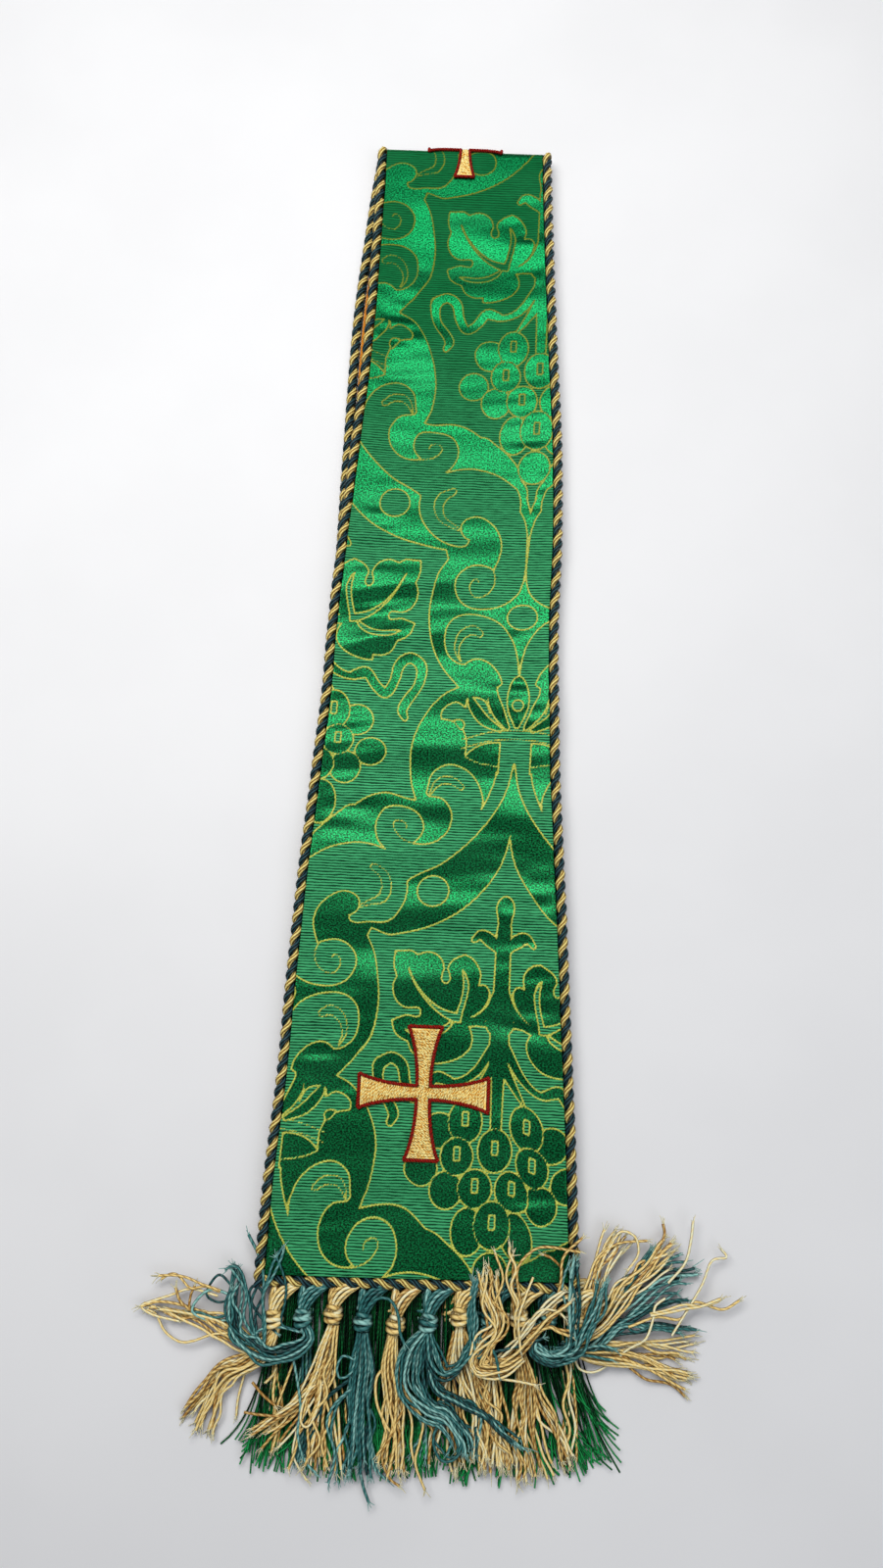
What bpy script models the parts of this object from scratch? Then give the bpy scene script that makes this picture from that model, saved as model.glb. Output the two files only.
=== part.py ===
"""A clerical stole folded in half at the neck and laid flat, brocade face out.

Sizes are in millimetres and are scaled to metres as each mesh is made.
X runs across the stole, +Y runs from the hem to the neck fold, +Z is up.
The origin is on the surface that the stole lies on, midway between hem and fold.
"""

import bpy
import numpy as np

for leftover in list(bpy.data.objects):
    bpy.data.objects.remove(leftover, do_unlink=True)

MILLIMETRE = 0.001

# ---------------------------------------------------------------- driving sizes
GAP = 0.3  # between pieces that touch
WALL = 2.0  # brocade with its interlining
LINING_WALL = 0.9
CORD_RADIUS = 2.25  # twisted cord sewn round the edges
HEM_Y = -250.0  # outer side of the hem cord
FOLD_OUTSIDE = 3.4  # radius of the neck fold's outer face
FOLD_LIFT = 1.9  # how far the under half rises into the fold
BEND_Y = 247.6  # where the fold starts to turn
RISE_Y = 195.0  # where both halves start to rise into the fold
RISEN_Y = 243.0  # where the upper half has reached the fold's height
UNDER_RISEN_Y = 226.0  # where the under half has
HEM_EASE = 28.0  # length over which the hem settles on its stacked cords
FOLD_Z = FOLD_LIFT + FOLD_OUTSIDE
CORD_WIDTH = 2 * CORD_RADIUS
BAND_INSET = CORD_WIDTH + GAP
BAND_HEM_Y = HEM_Y + BAND_INSET
RESTING_TOP = 2 * WALL + LINING_WALL + 2 * GAP
EDGE_TOP = 3 * CORD_RADIUS + GAP + WALL / 2
EDGE_LIFT = EDGE_TOP - RESTING_TOP

# Cord outer sides of the two halves, seen from above.
UPPER_EDGES = {
    "y": (-250, -213, -174, -135, -95, -53, -10, 21, 56, 100, 148, 200, 251),
    "left": (-66.0, -64.6, -61.9, -60.4, -58.4, -55.5, -52.5, -51.5, -49.3, -46.2, -42.9, -41.4, -40.7),
    "right": (63.4, 61.6, 59.3, 56.9, 54.5, 51.6, 49.8, 49.1, 49.7, 49.0, 46.0, 43.0, 40.6),
}
LOWER_EDGES = {
    "y": (-250, -174, -95, -10, 40, 87, 125, 164, 184, 204, 225, 251),
    "left": (-65.0, -61.0, -57.0, -52.0, -50.5, -50.0, -49.4, -48.5, -47.2, -45.5, -43.7, -40.7),
    "right": (62.5, 58.5, 54.0, 49.2, 48.5, 48.0, 45.6, 42.3, 41.7, 41.5, 41.2, 40.6),
}

# Soft waves across the upper half: where each lies, how far it reaches across,
# its half width along the stole, its height and how much it slants.
WAVES = {
    "y": (224, 205, 176, 152, 122, 96, 62, 38, 14, -12, -34, -60, -80, -104, -134, -158, -191, -212, -231),
    "x": (-8, 20, 5, -12, 18, -10, 0, -22, -20, 22, -10, 16, -14, 6, -8, 24, 18, -24, 10),
    "reach": (34, 30, 42, 40, 34, 40, 52, 34, 36, 34, 48, 40, 46, 52, 58, 40, 46, 44, 50),
    "width": (7, 8, 9, 9, 10, 9, 10, 8, 8, 9, 8, 9, 9, 10, 9, 9, 10, 8, 7),
    "rise": (1.2, 1.6, 1.5, 2.4, 1.3, 1.4, 2.6, 2.9, 3.0, 2.6, 2.2, 2.4, 2.2, 2.0, 1.8, 1.5, 1.7, 1.2, 0.8),
    "slant": (0.1, -0.15, 0, -0.1, 0.15, 0.1, 0, 0.12, 0.2, -0.2, 0, -0.1, 0.1, 0, 0.08, -0.1, 0.12, 0.1, 0),
}

ROWS_ALONG = 62
CORD_ROWS = 50
COLUMNS_ACROSS = 8


def smooth_step(value, start, end):
    """0 before start, 1 after end, eased between."""
    part = np.clip((value - start) / (end - start), 0.0, 1.0)
    return part * part * (3 - 2 * part)


def along_table(table, column, y):
    """Reads a table's column at y on a smooth curve through its rows."""
    rows = np.asarray(table["y"], float)
    values = np.asarray(table[column], float)
    slopes = np.gradient(values, rows)
    y = float(np.clip(y, rows[0], rows[-1]))
    row = int(min(np.searchsorted(rows, y, side="right") - 1, len(rows) - 2))
    step = rows[row + 1] - rows[row]
    t = (y - rows[row]) / step
    start = (2 * t**3 - 3 * t**2 + 1) * values[row] + (t**3 - 2 * t**2 + t) * step * slopes[row]
    end = (3 * t**2 - 2 * t**3) * values[row + 1] + (t**3 - t**2) * step * slopes[row + 1]
    return float(start + end)


# ------------------------------------------------------------ shape of the cloth
def wave_height(x, y):
    height = 0.0
    for row in range(len(WAVES["y"])):
        across = (x - WAVES["x"][row]) / WAVES["reach"][row]
        crest = WAVES["y"][row] + WAVES["slant"][row] * (x - WAVES["x"][row])
        height += WAVES["rise"][row] * np.exp(-across**2 - ((y - crest) / WAVES["width"][row]) ** 2)
    return height


def upper_top(x, y):
    """Height of the upper half's brocade face over the surface it lies on."""
    left = along_table(UPPER_EDGES, "left", y) + BAND_INSET
    right = along_table(UPPER_EDGES, "right", y) - BAND_INSET
    across = np.clip((2 * x - left - right) / (right - left), -1, 1)
    at_hem = 1 - smooth_step(y, BAND_HEM_Y, BAND_HEM_Y + HEM_EASE)
    at_edge = max(abs(across) ** 3, at_hem)
    at_fold = smooth_step(y, RISE_Y, RISEN_Y)
    lying = RESTING_TOP + EDGE_LIFT * at_edge + wave_height(x, y) * (1 - at_hem)
    return lying * (1 - at_fold) + (FOLD_Z + FOLD_OUTSIDE) * at_fold


def lower_bottom(y):
    """Height of the under half's brocade face: flat, then rising into the fold."""
    return FOLD_LIFT * smooth_step(y, RISE_Y, UNDER_RISEN_Y)


def skin_point(x, run, out=0.0):
    """A point on the brocade face, or out from it, at a run measured along the stole.

    The run is Y on the upper half, goes on round the fold and back along the under half.
    """
    turn = (run - BEND_Y) / FOLD_OUTSIDE
    radius = FOLD_OUTSIDE + out
    if turn <= 0:
        return (x, run, upper_top(x, run) + out)
    if turn <= np.pi:
        return (x, BEND_Y + radius * np.sin(turn), FOLD_Z + radius * np.cos(turn))
    y = BEND_Y - (run - BEND_Y - np.pi * FOLD_OUTSIDE)
    return (x, y, lower_bottom(y) - out)


# ------------------------------------------------------------------ mesh helpers
def new_material(name, colour, roughness, metallic=0.0):
    material = bpy.data.materials.new(name)
    material.use_nodes = True
    shader = material.node_tree.nodes["Principled BSDF"]
    shader.inputs["Base Color"].default_value = (*colour, 1)
    shader.inputs["Roughness"].default_value = roughness
    shader.inputs["Metallic"].default_value = metallic
    return material


def make_object(name, points, faces, material):
    mesh = bpy.data.meshes.new(name)
    mesh.from_pydata([tuple(MILLIMETRE * float(c) for c in point) for point in points], [], faces)
    mesh.materials.append(material)
    mesh.validate()
    mesh.shade_smooth()
    mesh.set_sharp_from_angle(angle=np.radians(50))
    made = bpy.data.objects.new(name, mesh)
    bpy.context.scene.collection.objects.link(made)
    return made


def closed_sheet(name, outer, inner, material):
    """Closes a wall between two grids of points: the first is its upper face."""
    rows, columns = len(outer), len(outer[0])
    points = [point for row in outer for point in row] + [point for row in inner for point in row]
    inside = rows * columns
    faces = []
    for row in range(rows - 1):
        for column in range(columns - 1):
            a = row * columns + column
            cell = (a, a + 1, a + columns + 1, a + columns)
            faces.append(cell)
            faces.append(tuple(inside + corner for corner in reversed(cell)))
    rim = list(range(columns))
    rim += [row * columns + columns - 1 for row in range(1, rows)]
    rim += [(rows - 1) * columns + column for column in range(columns - 2, -1, -1)]
    rim += [row * columns for row in range(rows - 2, 0, -1)]
    for start, end in zip(rim, rim[1:] + rim[:1]):
        faces.append((end, start, inside + start, inside + end))
    return make_object(name, points, faces, material)


def sections(path, half_width, half_height, sides, closed=False, level=False):
    """Rings of a tube along a path; a level one never rolls as it turns and climbs."""
    path = np.asarray(path, float)
    tangents = np.gradient(path, axis=0)
    if closed:
        ahead = np.roll(path, -1, axis=0) - path
        ahead /= np.linalg.norm(ahead, axis=1)[:, None]
        tangents = ahead + np.roll(ahead, 1, axis=0)
    tangents /= np.linalg.norm(tangents, axis=1)[:, None]
    rings = []
    widths = np.broadcast_to(half_width, len(path))
    heights = np.broadcast_to(half_height, len(path))
    reach = 1 / np.cos(np.pi / sides) if sides == 4 else 1.0
    angles = np.arange(sides) * 2 * np.pi / sides - np.pi / sides - np.pi / 2
    side = np.cross((0, 0, 1), tangents[0])
    for point, tangent, width, height in zip(path, tangents, widths, heights):
        side = np.cross((0, 0, 1), tangent) if level else side - tangent * np.dot(side, tangent)
        side = side / np.linalg.norm(side)
        up = np.cross(tangent, side)
        rings.append(
            [point + reach * (side * np.cos(a) * width + up * np.sin(a) * height) for a in angles]
        )
    return rings


def tube_faces(first, ring_count, sides):
    faces = []
    for ring in range(ring_count - 1):
        for corner in range(sides):
            a = first + ring * sides + corner
            b = first + ring * sides + (corner + 1) % sides
            faces.append((a, b, b + sides, a + sides))
    return faces


def cord(name, path, material, radius=CORD_RADIUS, sides=6, closed=False):
    rings = sections(path, radius, radius, sides, closed)
    points = [point for ring in rings for point in ring]
    faces = tube_faces(0, len(rings), sides)
    last = (len(rings) - 1) * sides
    if closed:
        for corner in range(sides):
            following = (corner + 1) % sides
            faces.append((last + corner, last + following, following, corner))
    else:
        faces.append(tuple(reversed(range(sides))))
        faces.append(tuple(range(last, last + sides)))
    return make_object(name, points, faces, material)


# -------------------------------------------------------------------- materials
BROCADE = new_material("brocade", (0.01, 0.22, 0.09), 0.45, 0.2)
LINING = new_material("lining", (0.80, 0.30, 0.04), 0.6)
CORD = new_material("edge_cord", (0.55, 0.38, 0.12), 0.5, 0.1)
GOLD = new_material("gold_yarn", (0.72, 0.47, 0.14), 0.5)
TEAL = new_material("teal_yarn", (0.05, 0.22, 0.24), 0.5)
GREEN = new_material("green_yarn", (0.01, 0.16, 0.06), 0.5)
CROSS_FILL = new_material("cross_gold", (0.80, 0.48, 0.12), 0.5, 0.2)
CROSS_CORD = new_material("cross_outline", (0.25, 0.01, 0.02), 0.6)


# ------------------------------------------------------- the two bands of brocade
def band_width(edges, y, inset):
    """Left and right sides of a half; both halves share the fold's own sides."""
    sides = UPPER_EDGES if y >= BEND_Y else edges
    return along_table(sides, "left", y) + inset, along_table(sides, "right", y) - inset


flat_rows = np.linspace(BAND_HEM_Y, BEND_Y, ROWS_ALONG)
fold_turns = np.radians((30, 60, 86))
across_shares = np.linspace(0, 1, COLUMNS_ACROSS + 1)

upper_outer = []
upper_inner = []
for y in flat_rows:
    left, right = band_width(UPPER_EDGES, y, BAND_INSET)
    row = [(x, y, upper_top(x, y)) for x in left + (right - left) * across_shares]
    upper_outer.append(row)
    upper_inner.append([(x, y, z - WALL) for x, y, z in row])
for turn in fold_turns:
    left, right = band_width(UPPER_EDGES, BEND_Y, BAND_INSET)
    for grid, radius in ((upper_outer, FOLD_OUTSIDE), (upper_inner, FOLD_OUTSIDE - WALL)):
        y = BEND_Y + radius * np.sin(turn)
        z = FOLD_Z + radius * np.cos(turn)
        grid.append([(x, y, z) for x in left + (right - left) * across_shares])
closed_sheet("upper_band", upper_outer, upper_inner, BROCADE)

flat_under_rows = np.linspace(BAND_HEM_Y, RISE_Y, 15)
under_rows = np.concatenate((flat_under_rows, np.linspace(RISE_Y, UNDER_RISEN_Y, 5)[1:], [BEND_Y]))
under_shares = np.linspace(0, 1, 3)
lower_outer = []
lower_inner = []
for y in under_rows:
    left, right = band_width(LOWER_EDGES, y, BAND_INSET)
    lower_outer.append([(x, y, lower_bottom(y)) for x in left + (right - left) * under_shares])
    lower_inner.append([(x, y, z + WALL) for x, y, z in lower_outer[-1]])
for turn in fold_turns:
    left, right = band_width(LOWER_EDGES, BEND_Y, BAND_INSET)
    for grid, radius in ((lower_outer, FOLD_OUTSIDE), (lower_inner, FOLD_OUTSIDE - WALL)):
        y = BEND_Y + radius * np.sin(turn)
        z = FOLD_Z - radius * np.cos(turn)
        grid.append([(x, y, z) for x in left + (right - left) * under_shares])
closed_sheet("lower_band", lower_inner, lower_outer, BROCADE)

# The lining faces the fold's inside and shows where the two halves part company.
lining_under = []
lining_over = []
for y in list(under_rows[:-1]) + [RISEN_Y]:
    left, right = band_width(LOWER_EDGES, y, BAND_INSET)
    z = lower_bottom(y) + WALL + GAP
    lining_under.append([(x, y, z) for x in left + (right - left) * under_shares])
    lining_over.append([(x, y, z + LINING_WALL) for x, y, z in lining_under[-1]])
closed_sheet("lining", lining_over, lining_under, LINING)


# ------------------------------------------------------------------- edge cords
def side_cord_path(side):
    """From the under half's hem, along its edge, round the fold and back to the upper hem."""
    inward = CORD_RADIUS if side == "left" else -CORD_RADIUS
    turn_radius = CORD_RADIUS + 0.25
    path = []
    for y in np.concatenate((np.linspace(HEM_Y, 150, 14), np.linspace(166, RISEN_Y, 8))):
        rise = (FOLD_Z - turn_radius - CORD_RADIUS) * smooth_step(y, RISE_Y, RISEN_Y)
        path.append((along_table(LOWER_EDGES, side, y) + inward, y, CORD_RADIUS + rise))
    at_fold = along_table(UPPER_EDGES, side, BEND_Y) + inward
    for turn in np.radians(np.arange(-75, 76, 30)):
        path.append((at_fold, BEND_Y + turn_radius * np.cos(turn), FOLD_Z + turn_radius * np.sin(turn)))
    for y in np.linspace(RISEN_Y, HEM_Y, CORD_ROWS):
        edge = along_table(UPPER_EDGES, side, y)
        band_edge = edge + np.sign(inward) * BAND_INSET
        at_bend = smooth_step(y, UNDER_RISEN_Y, RISEN_Y)
        z = upper_top(band_edge, y) - WALL / 2
        path.append((edge + inward, y, z * (1 - at_bend) + (FOLD_Z + turn_radius) * at_bend))
    return path


for side in ("left", "right"):
    cord("cord_" + side, side_cord_path(side), CORD)

hem_y = HEM_Y + CORD_RADIUS
for name, edges in (("hem_cord_upper", UPPER_EDGES), ("hem_cord_lower", LOWER_EDGES)):
    left, right = band_width(edges, HEM_Y, BAND_INSET)
    z = EDGE_TOP - WALL / 2 if edges is UPPER_EDGES else CORD_RADIUS
    cord(name, [(x, hem_y, z) for x in np.linspace(left, right, 12)], CORD)


# ----------------------------------------------------------------- applied crosses
ARM_FLARE = 2.2  # the higher, the later an arm widens
CROSS_TAPER = 0.96  # the fill's top against its foot
CROSS_CORD_SQUARE = 0.8  # half side of the cord's square section, in cord radii
CORNER_CUT = 0.8  # cord radii taken off each sharp corner


def cross_stations(span, tip, waist, steps):
    """Distance from the centre and half width along an arm, narrow first, flared at the tip."""
    share = np.linspace(0, 1, steps)
    return waist + (span / 2 - waist) * share, waist + (tip / 2 - waist) * share**ARM_FLARE


def quarter_turn(quarter, a, b):
    c, s = ((1, 0), (0, 1), (-1, 0), (0, -1))[quarter]
    return c * a - s * b, s * a + c * b


def cross_outline(span, tip, waist, steps, lanes):
    """Counter-clockwise corners: for each arm its inner corner, one side out, the tip, the other side."""
    alongs, halves = cross_stations(span, tip, waist, steps)
    arm = list(zip(alongs, -halves))
    arm += [(alongs[-1], halves[-1] * (2 * lane / lanes - 1)) for lane in range(1, lanes)]
    arm += list(zip(alongs[:0:-1], halves[:0:-1]))
    return [quarter_turn(quarter, a, b) for quarter in range(4) for a, b in arm]


def cross_cells(span, tip, waist, steps, lanes):
    """Four-cornered cells that fill the cross: its square middle, then each arm."""
    across = [2 * lane / lanes - 1 for lane in range(lanes + 1)]
    alongs, halves = cross_stations(span, tip, waist, steps)
    middle = [[(waist * a, waist * b) for b in across] for a in across]
    grids = [middle]
    for quarter in range(4):
        grids.append([[quarter_turn(quarter, a, h * b) for b in across] for a, h in zip(alongs, halves)])
    cells = []
    for grid in grids:
        for k in range(len(grid) - 1):
            for lane in range(lanes):
                cells.append((grid[k][lane], grid[k + 1][lane], grid[k + 1][lane + 1], grid[k][lane + 1]))
    return cells


def cut_corners(outline, cut):
    """Replaces each sharp corner by two points a little way along its sides."""
    points = np.asarray(outline)
    softened = []
    for before, point, after in zip(np.roll(points, 1, axis=0), points, np.roll(points, -1, axis=0)):
        arriving = (point - before) / np.linalg.norm(point - before)
        leaving = (after - point) / np.linalg.norm(after - point)
        if np.dot(arriving, leaving) < 0.5:
            softened += [point - arriving * cut, point + leaving * cut]
        else:
            softened.append(point)
    return softened


def cross(name, centre, size, cord_radius, thickness, steps, lanes):
    """A thick worked cross laid on the brocade, and the cord sewn round it."""
    centre_x, centre_run = centre
    span, tip, waist = size
    inset = 2 * cord_radius + 2 * GAP
    fill = (span - 2 * inset, tip - 2 * inset, waist / 2 - inset, steps, lanes)
    cells = cross_cells(*fill)
    places = {}
    for cell in cells:
        for a, b in cell:
            places.setdefault((round(a, 4), round(b, 4)), len(places))
    count = len(places)
    points = []
    for share, lift in ((1.0, GAP), (CROSS_TAPER, GAP + thickness)):
        points += [skin_point(centre_x + a * share, centre_run + b * share, lift) for a, b in places]
    top = [tuple(count + places[round(a, 4), round(b, 4)] for a, b in cell) for cell in cells]
    faces = top + [tuple(corner - count for corner in reversed(face)) for face in top]
    rim = [places[round(a, 4), round(b, 4)] for a, b in cross_outline(*fill)]
    for start, end in zip(rim, rim[1:] + rim[:1]):
        faces.append((start, end, count + end, count + start))
    make_object(name, points, faces, CROSS_FILL)
    edge = cross_outline(
        span - 2 * cord_radius, tip - 2 * cord_radius, waist / 2 - cord_radius, steps, lanes
    )
    edge = cut_corners(edge, CORNER_CUT * cord_radius)
    path = [skin_point(centre_x + a, centre_run + b, GAP + cord_radius) for a, b in edge]
    cord(name + "_cord", path, CROSS_CORD, CROSS_CORD_SQUARE * cord_radius, 4, closed=True)


NECK_SEAM_RUN = BEND_Y + FOLD_OUTSIDE * np.pi / 2
cross("end_cross", (-1.7, -178.0), (54.0, 14.7, 6.8), 0.65, 1.3, 6, 2)
cross("neck_cross", (0.2, NECK_SEAM_RUN), (35.0, 10.0, 5.4), 0.6, 1.1, 7, 4)


# --------------------------------------------------------------------------- fringe
STRAND_SIDES = 4
STRIP_DEPTH = 1.6


class Backing:
    """A knot or narrow strip, with strands drawn out of cells on its ends."""

    def __init__(self, centre, axis, across):
        self.centre = np.asarray(centre, float)
        self.axis = np.asarray(axis, float) / np.linalg.norm(axis)
        self.across = np.asarray(across, float)
        self.up = np.cross(self.axis, self.across)
        self.points = []
        self.faces = []

    def body(self, stations, columns, rows):
        """Rings of (distance along the axis, half width, half height); returns both ends' cells."""
        ends = []
        loops = []
        for number, (along, half_width, half_height) in enumerate(stations):
            is_end = number in (0, len(stations) - 1)
            where = {}
            for row in range(rows + 1):
                for column in range(columns + 1):
                    if not is_end and 0 < row < rows and 0 < column < columns:
                        continue
                    where[column, row] = len(self.points)
                    a = (2 * column / columns - 1) * half_width
                    b = (2 * row / rows - 1) * half_height
                    self.points.append(self.centre + self.axis * along + self.across * a + self.up * b)
            loop = [(column, 0) for column in range(columns)]
            loop += [(columns, row) for row in range(rows)]
            loop += [(column, rows) for column in range(columns, 0, -1)]
            loop += [(0, row) for row in range(rows, 0, -1)]
            loops.append([where[key] for key in loop])
            if is_end:
                cells = {}
                for column in range(columns):
                    for row in range(rows):
                        cells[column, row] = (
                            where[column, row],
                            where[column + 1, row],
                            where[column + 1, row + 1],
                            where[column, row + 1],
                        )
                ends.append(cells)
        for first, second in zip(loops, loops[1:]):
            for k in range(len(first)):
                j = (k + 1) % len(first)
                self.faces.append((first[k], first[j], second[j], second[k]))
        first_cells = {key: tuple(reversed(cell)) for key, cell in ends[0].items()}
        return first_cells, ends[1]

    def middle(self, cell):
        return np.mean([self.points[corner] for corner in cell], axis=0)

    def grow(self, cell, path, half_width, half_height):
        """A strand from a cell along a path; its root tapers out of the whole cell."""
        rings = sections(path, half_width, half_height, STRAND_SIDES, level=True)
        corners = np.array([self.points[corner] for corner in cell])
        ring = np.array(rings[0])
        turns = [np.sum((np.roll(ring, -turn, axis=0) - corners) ** 2) for turn in range(4)]
        shift = int(np.argmin(turns))
        first = len(self.points)
        for ring in rings:
            self.points += list(np.roll(np.array(ring), -shift, axis=0))
        for k in range(4):
            j = (k + 1) % 4
            self.faces.append((cell[k], cell[j], first + j, first + k))
        self.faces += tube_faces(first, len(rings), 4)
        last = first + 4 * (len(rings) - 1)
        self.faces.append(tuple(range(last, last + 4)))

    def close(self, cell):
        self.faces.append(cell)

    def finish(self, name, material):
        return make_object(name, self.points, self.faces, material)


def heading_path(start, headings, bend, length, heights, shares):
    """A strand's route over the table and the way across it.

    Headings are degrees from -Y towards -X as it leaves, where its bend ends, and at its tip.
    """
    fine = np.linspace(0, 1, 241)
    turned = np.radians(np.interp(fine, (0, bend, 1), headings))
    step = length / (len(fine) - 1)
    x = start[0] - np.concatenate(([0], np.cumsum(np.sin(turned[:-1]) * step)))
    y = start[1] - np.concatenate(([0], np.cumsum(np.cos(turned[:-1]) * step)))
    at = [int(round(share * 240)) for share in shares]
    z = np.interp(shares, (0, bend, 1), heights)
    path = np.column_stack((x[at], y[at], z))
    aside = np.column_stack((np.cos(turned[at]), -np.sin(turned[at]), np.zeros(len(at))))
    return path, aside


UPPER_KNOT = {"z": 7.2, "half": ((-3.0, 1.9, 1.3), (-1.2, 3.4, 2.1), (1.2, 3.4, 2.1), (3.0, 2.7, 1.5))}
LOWER_KNOT = {"z": 1.75, "half": ((-2.6, 1.9, 0.9), (0.0, 3.2, 1.4), (2.6, 2.7, 0.9))}
KNOT_TO_STRAND = 1.8
KNOT_TURN = 0.35  # how far a knot turns towards the way its strands leave
ROOT_STEP = 0.7  # a half bundle's first ring stands off its cell by this
# A half bundle: its sections from the knot to the hem, and where it ends.
HALF_BUNDLE = {"width": (0.6, 1.2, 1.4, 1.0), "height": (0.5, 0.7, 0.7, 0.5)}
HALF_BUNDLE_END_X = {"upright": -0.8, "leaning": 6.6}
HALF_BUNDLE_DROP = 0.4
HALF_BUNDLE_STRAIGHT = 2.4
CLEAR_OF_HEM = 0.45
STRAND_HALF_WIDTH = 0.65
STRAND_HALF_HEIGHT = 0.5
LAYER_CLEARANCE = 0.25
SPACING_AT_KNOT = 1.7
SPACING_AT_BEND = 1.6
TIP_STEP = 0.05  # strands end this share of their last length apart

# Tassels from left to right: knot place, headings, share of the length in the bend,
# length, spacing of the strands at the tips, and heights at the knot, the bend's end and the tips.
UPPER_TASSELS = {
    "x": (-56.8, -45.5, -33.6, -21.8, -8.9, 3.9, 16.2, 28.2, 39.4, 50.6, 61.4),
    "y": (-266.4, -265.6, -263.7, -266.1, -266.7, -265.5, -262.8, -262.2, -262.2, -262.2, -261.8),
    "leave": (40, 12, 8, 4, 0, 22, 2, 22, 22, 0, -22),
    "turned": (38, 100, 10, 0, -6, -28, -2, 176, 174, -88, -78),
    "end": (34, 184, 2, -8, -2, -46, 0, 190, 190, -184, -62),
    "bend": (0.3, 0.35, 0.4, 0.4, 0.4, 0.4, 0.4, 0.27, 0.24, 0.35, 0.3),
    "length": (60, 62, 58, 60, 56, 58, 58, 43, 48, 60, 62),
    "fan": (5.4, 2.3, 5.0, 3.4, 3.8, 2.6, 3.2, 1.9, 3.6, 2.4, 4.6),
    "near": (6.4, 7.6, 6.6, 6.6, 6.6, 7.6, 6.6, 7.8, 7.8, 7.6, 6.8),
    "over": (3.6, 9.4, 4.6, 4.6, 4.6, 7.6, 4.6, 11.1, 11.1, 9.8, 4.4),
    "far": (1.8, 5.0, 4.4, 4.4, 4.4, 7.4, 4.4, 10.6, 10.8, 11.2, 1.8),
}
LOWER_TASSELS = {
    "x": (-56.0, -44.7, -33.4, -22.0, -10.5, 1.0, 12.5, 24.0, 35.8, 47.2, 58.6),
    "y": (-260.5, -263.0, -262.5, -262.5, -262.5, -262.5, -262.5, -262.5, -262.5, -263.0, -259.8),
    "leave": (54, 40, 4, 4, 0, 0, 0, 0, -6, -44, -50),
    "turned": (102, 88, 4, 2, 0, 0, -4, -4, -10, -92, -112),
    "end": (96, 80, -2, -4, -2, 4, -2, -4, -4, -122, -156),
    "bend": (0.3, 0.3, 0.4, 0.4, 0.4, 0.4, 0.4, 0.4, 0.4, 0.3, 0.35),
    "length": (56, 56, 56, 56, 56, 56, 56, 56, 58, 80, 56),
    "fan": (3.2, 2.4, 3.0, 2.6, 2.6, 2.6, 2.6, 2.6, 4.0, 6.0, 4.4),
    "near": (0.9,) * 11,
    "over": (0.9,) * 11,
    "far": (0.9,) * 11,
}


def tassel(name, table, row, knot, grid, material):
    columns, rows = grid
    headings = [table[column][row] for column in ("leave", "turned", "end")]
    facing = np.radians(KNOT_TURN * headings[0])
    axis = np.array((-np.sin(facing), -np.cos(facing), 0))
    place = np.array((table["x"][row], table["y"][row], knot["z"]))
    backing = Backing(place, axis, (np.cos(facing), -np.sin(facing), 0))
    roots, ends = backing.body(knot["half"], columns, rows)
    # The two gathered half bundles that rise from the knot to the hem.
    rising = {(0, 0): "upright", (columns - 1, rows - 1): "leaning"}
    for key, cell in roots.items():
        if key not in rising:
            backing.close(cell)
            continue
        start = backing.middle(cell) - ROOT_STEP * axis
        end_x = place[0] + HALF_BUNDLE_END_X[rising[key]]
        finish = np.array((end_x, HEM_Y - CLEAR_OF_HEM, knot["z"] - HALF_BUNDLE_DROP))
        below = finish - np.array((0, HALF_BUNDLE_STRAIGHT, 0))
        path = np.array((start, start + (below - start) * 0.45, below, finish))
        backing.grow(cell, path, HALF_BUNDLE["width"], HALF_BUNDLE["height"])
    # The hanging strands.
    heights = [table[column][row] for column in ("near", "over", "far")]
    bend = table["bend"][row]
    start = place + axis * (knot["half"][-1][0] + KNOT_TO_STRAND)
    straight = max(headings) - min(headings) < 20
    shares = (0, bend, 1) if straight else (0, bend / 3, 2 * bend / 3, bend, (1 + bend) / 2, 1)
    centre, aside = heading_path(start, headings, bend, table["length"][row], heights, shares)
    spread = np.interp(shares, (0, bend, 1), (SPACING_AT_KNOT, SPACING_AT_BEND, table["fan"][row]))
    for (column, layer), cell in ends.items():
        sideways = (column - (columns - 1) / 2) * spread
        lift = (layer - (rows - 1) / 2) * 2 * (STRAND_HALF_HEIGHT + LAYER_CLEARANCE)
        shorter = 1.0 - TIP_STEP * ((column * 2 + layer * 3 + row) % 3)
        path = centre + aside * sideways[:, None] + np.array((0, 0, lift))
        path[-1] = path[-2] + (path[-1] - path[-2]) * shorter
        backing.grow(cell, path, STRAND_HALF_WIDTH, STRAND_HALF_HEIGHT)
    backing.finish(name, material)


for row in range(len(UPPER_TASSELS["x"])):
    tassel(f"tassel_upper_{row + 1:02d}", UPPER_TASSELS, row, UPPER_KNOT, (3, 2), (GOLD, TEAL)[row % 2])
for row in range(len(LOWER_TASSELS["x"])):
    tassel(f"tassel_lower_{row + 1:02d}", LOWER_TASSELS, row, LOWER_KNOT, (3, 1), (GOLD, TEAL)[row % 2])


FRINGE_HALF_WIDTH = 0.95
FRINGE_HALF_HEIGHT = 0.45
FRINGE_REACH = 72.5
FRINGE_LEFT = -59.0
FRINGE_RIGHT = 57.5
FRINGE_CELLS = 47
HEADING_HALF_HEIGHT = 0.4
HEADING_CLEAR_OF_CORD = 0.5
LOCK_ROOT_STEP = 1.2
# The locks lean with the tassels thrown to each side, and are shorter at the right.
SWAY_RIGHT = 19
SWAY_LEFT = 7
CUT_STEP = 2.5  # locks are cut this much apart
SHORTER_AT_RIGHT = 4
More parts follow.
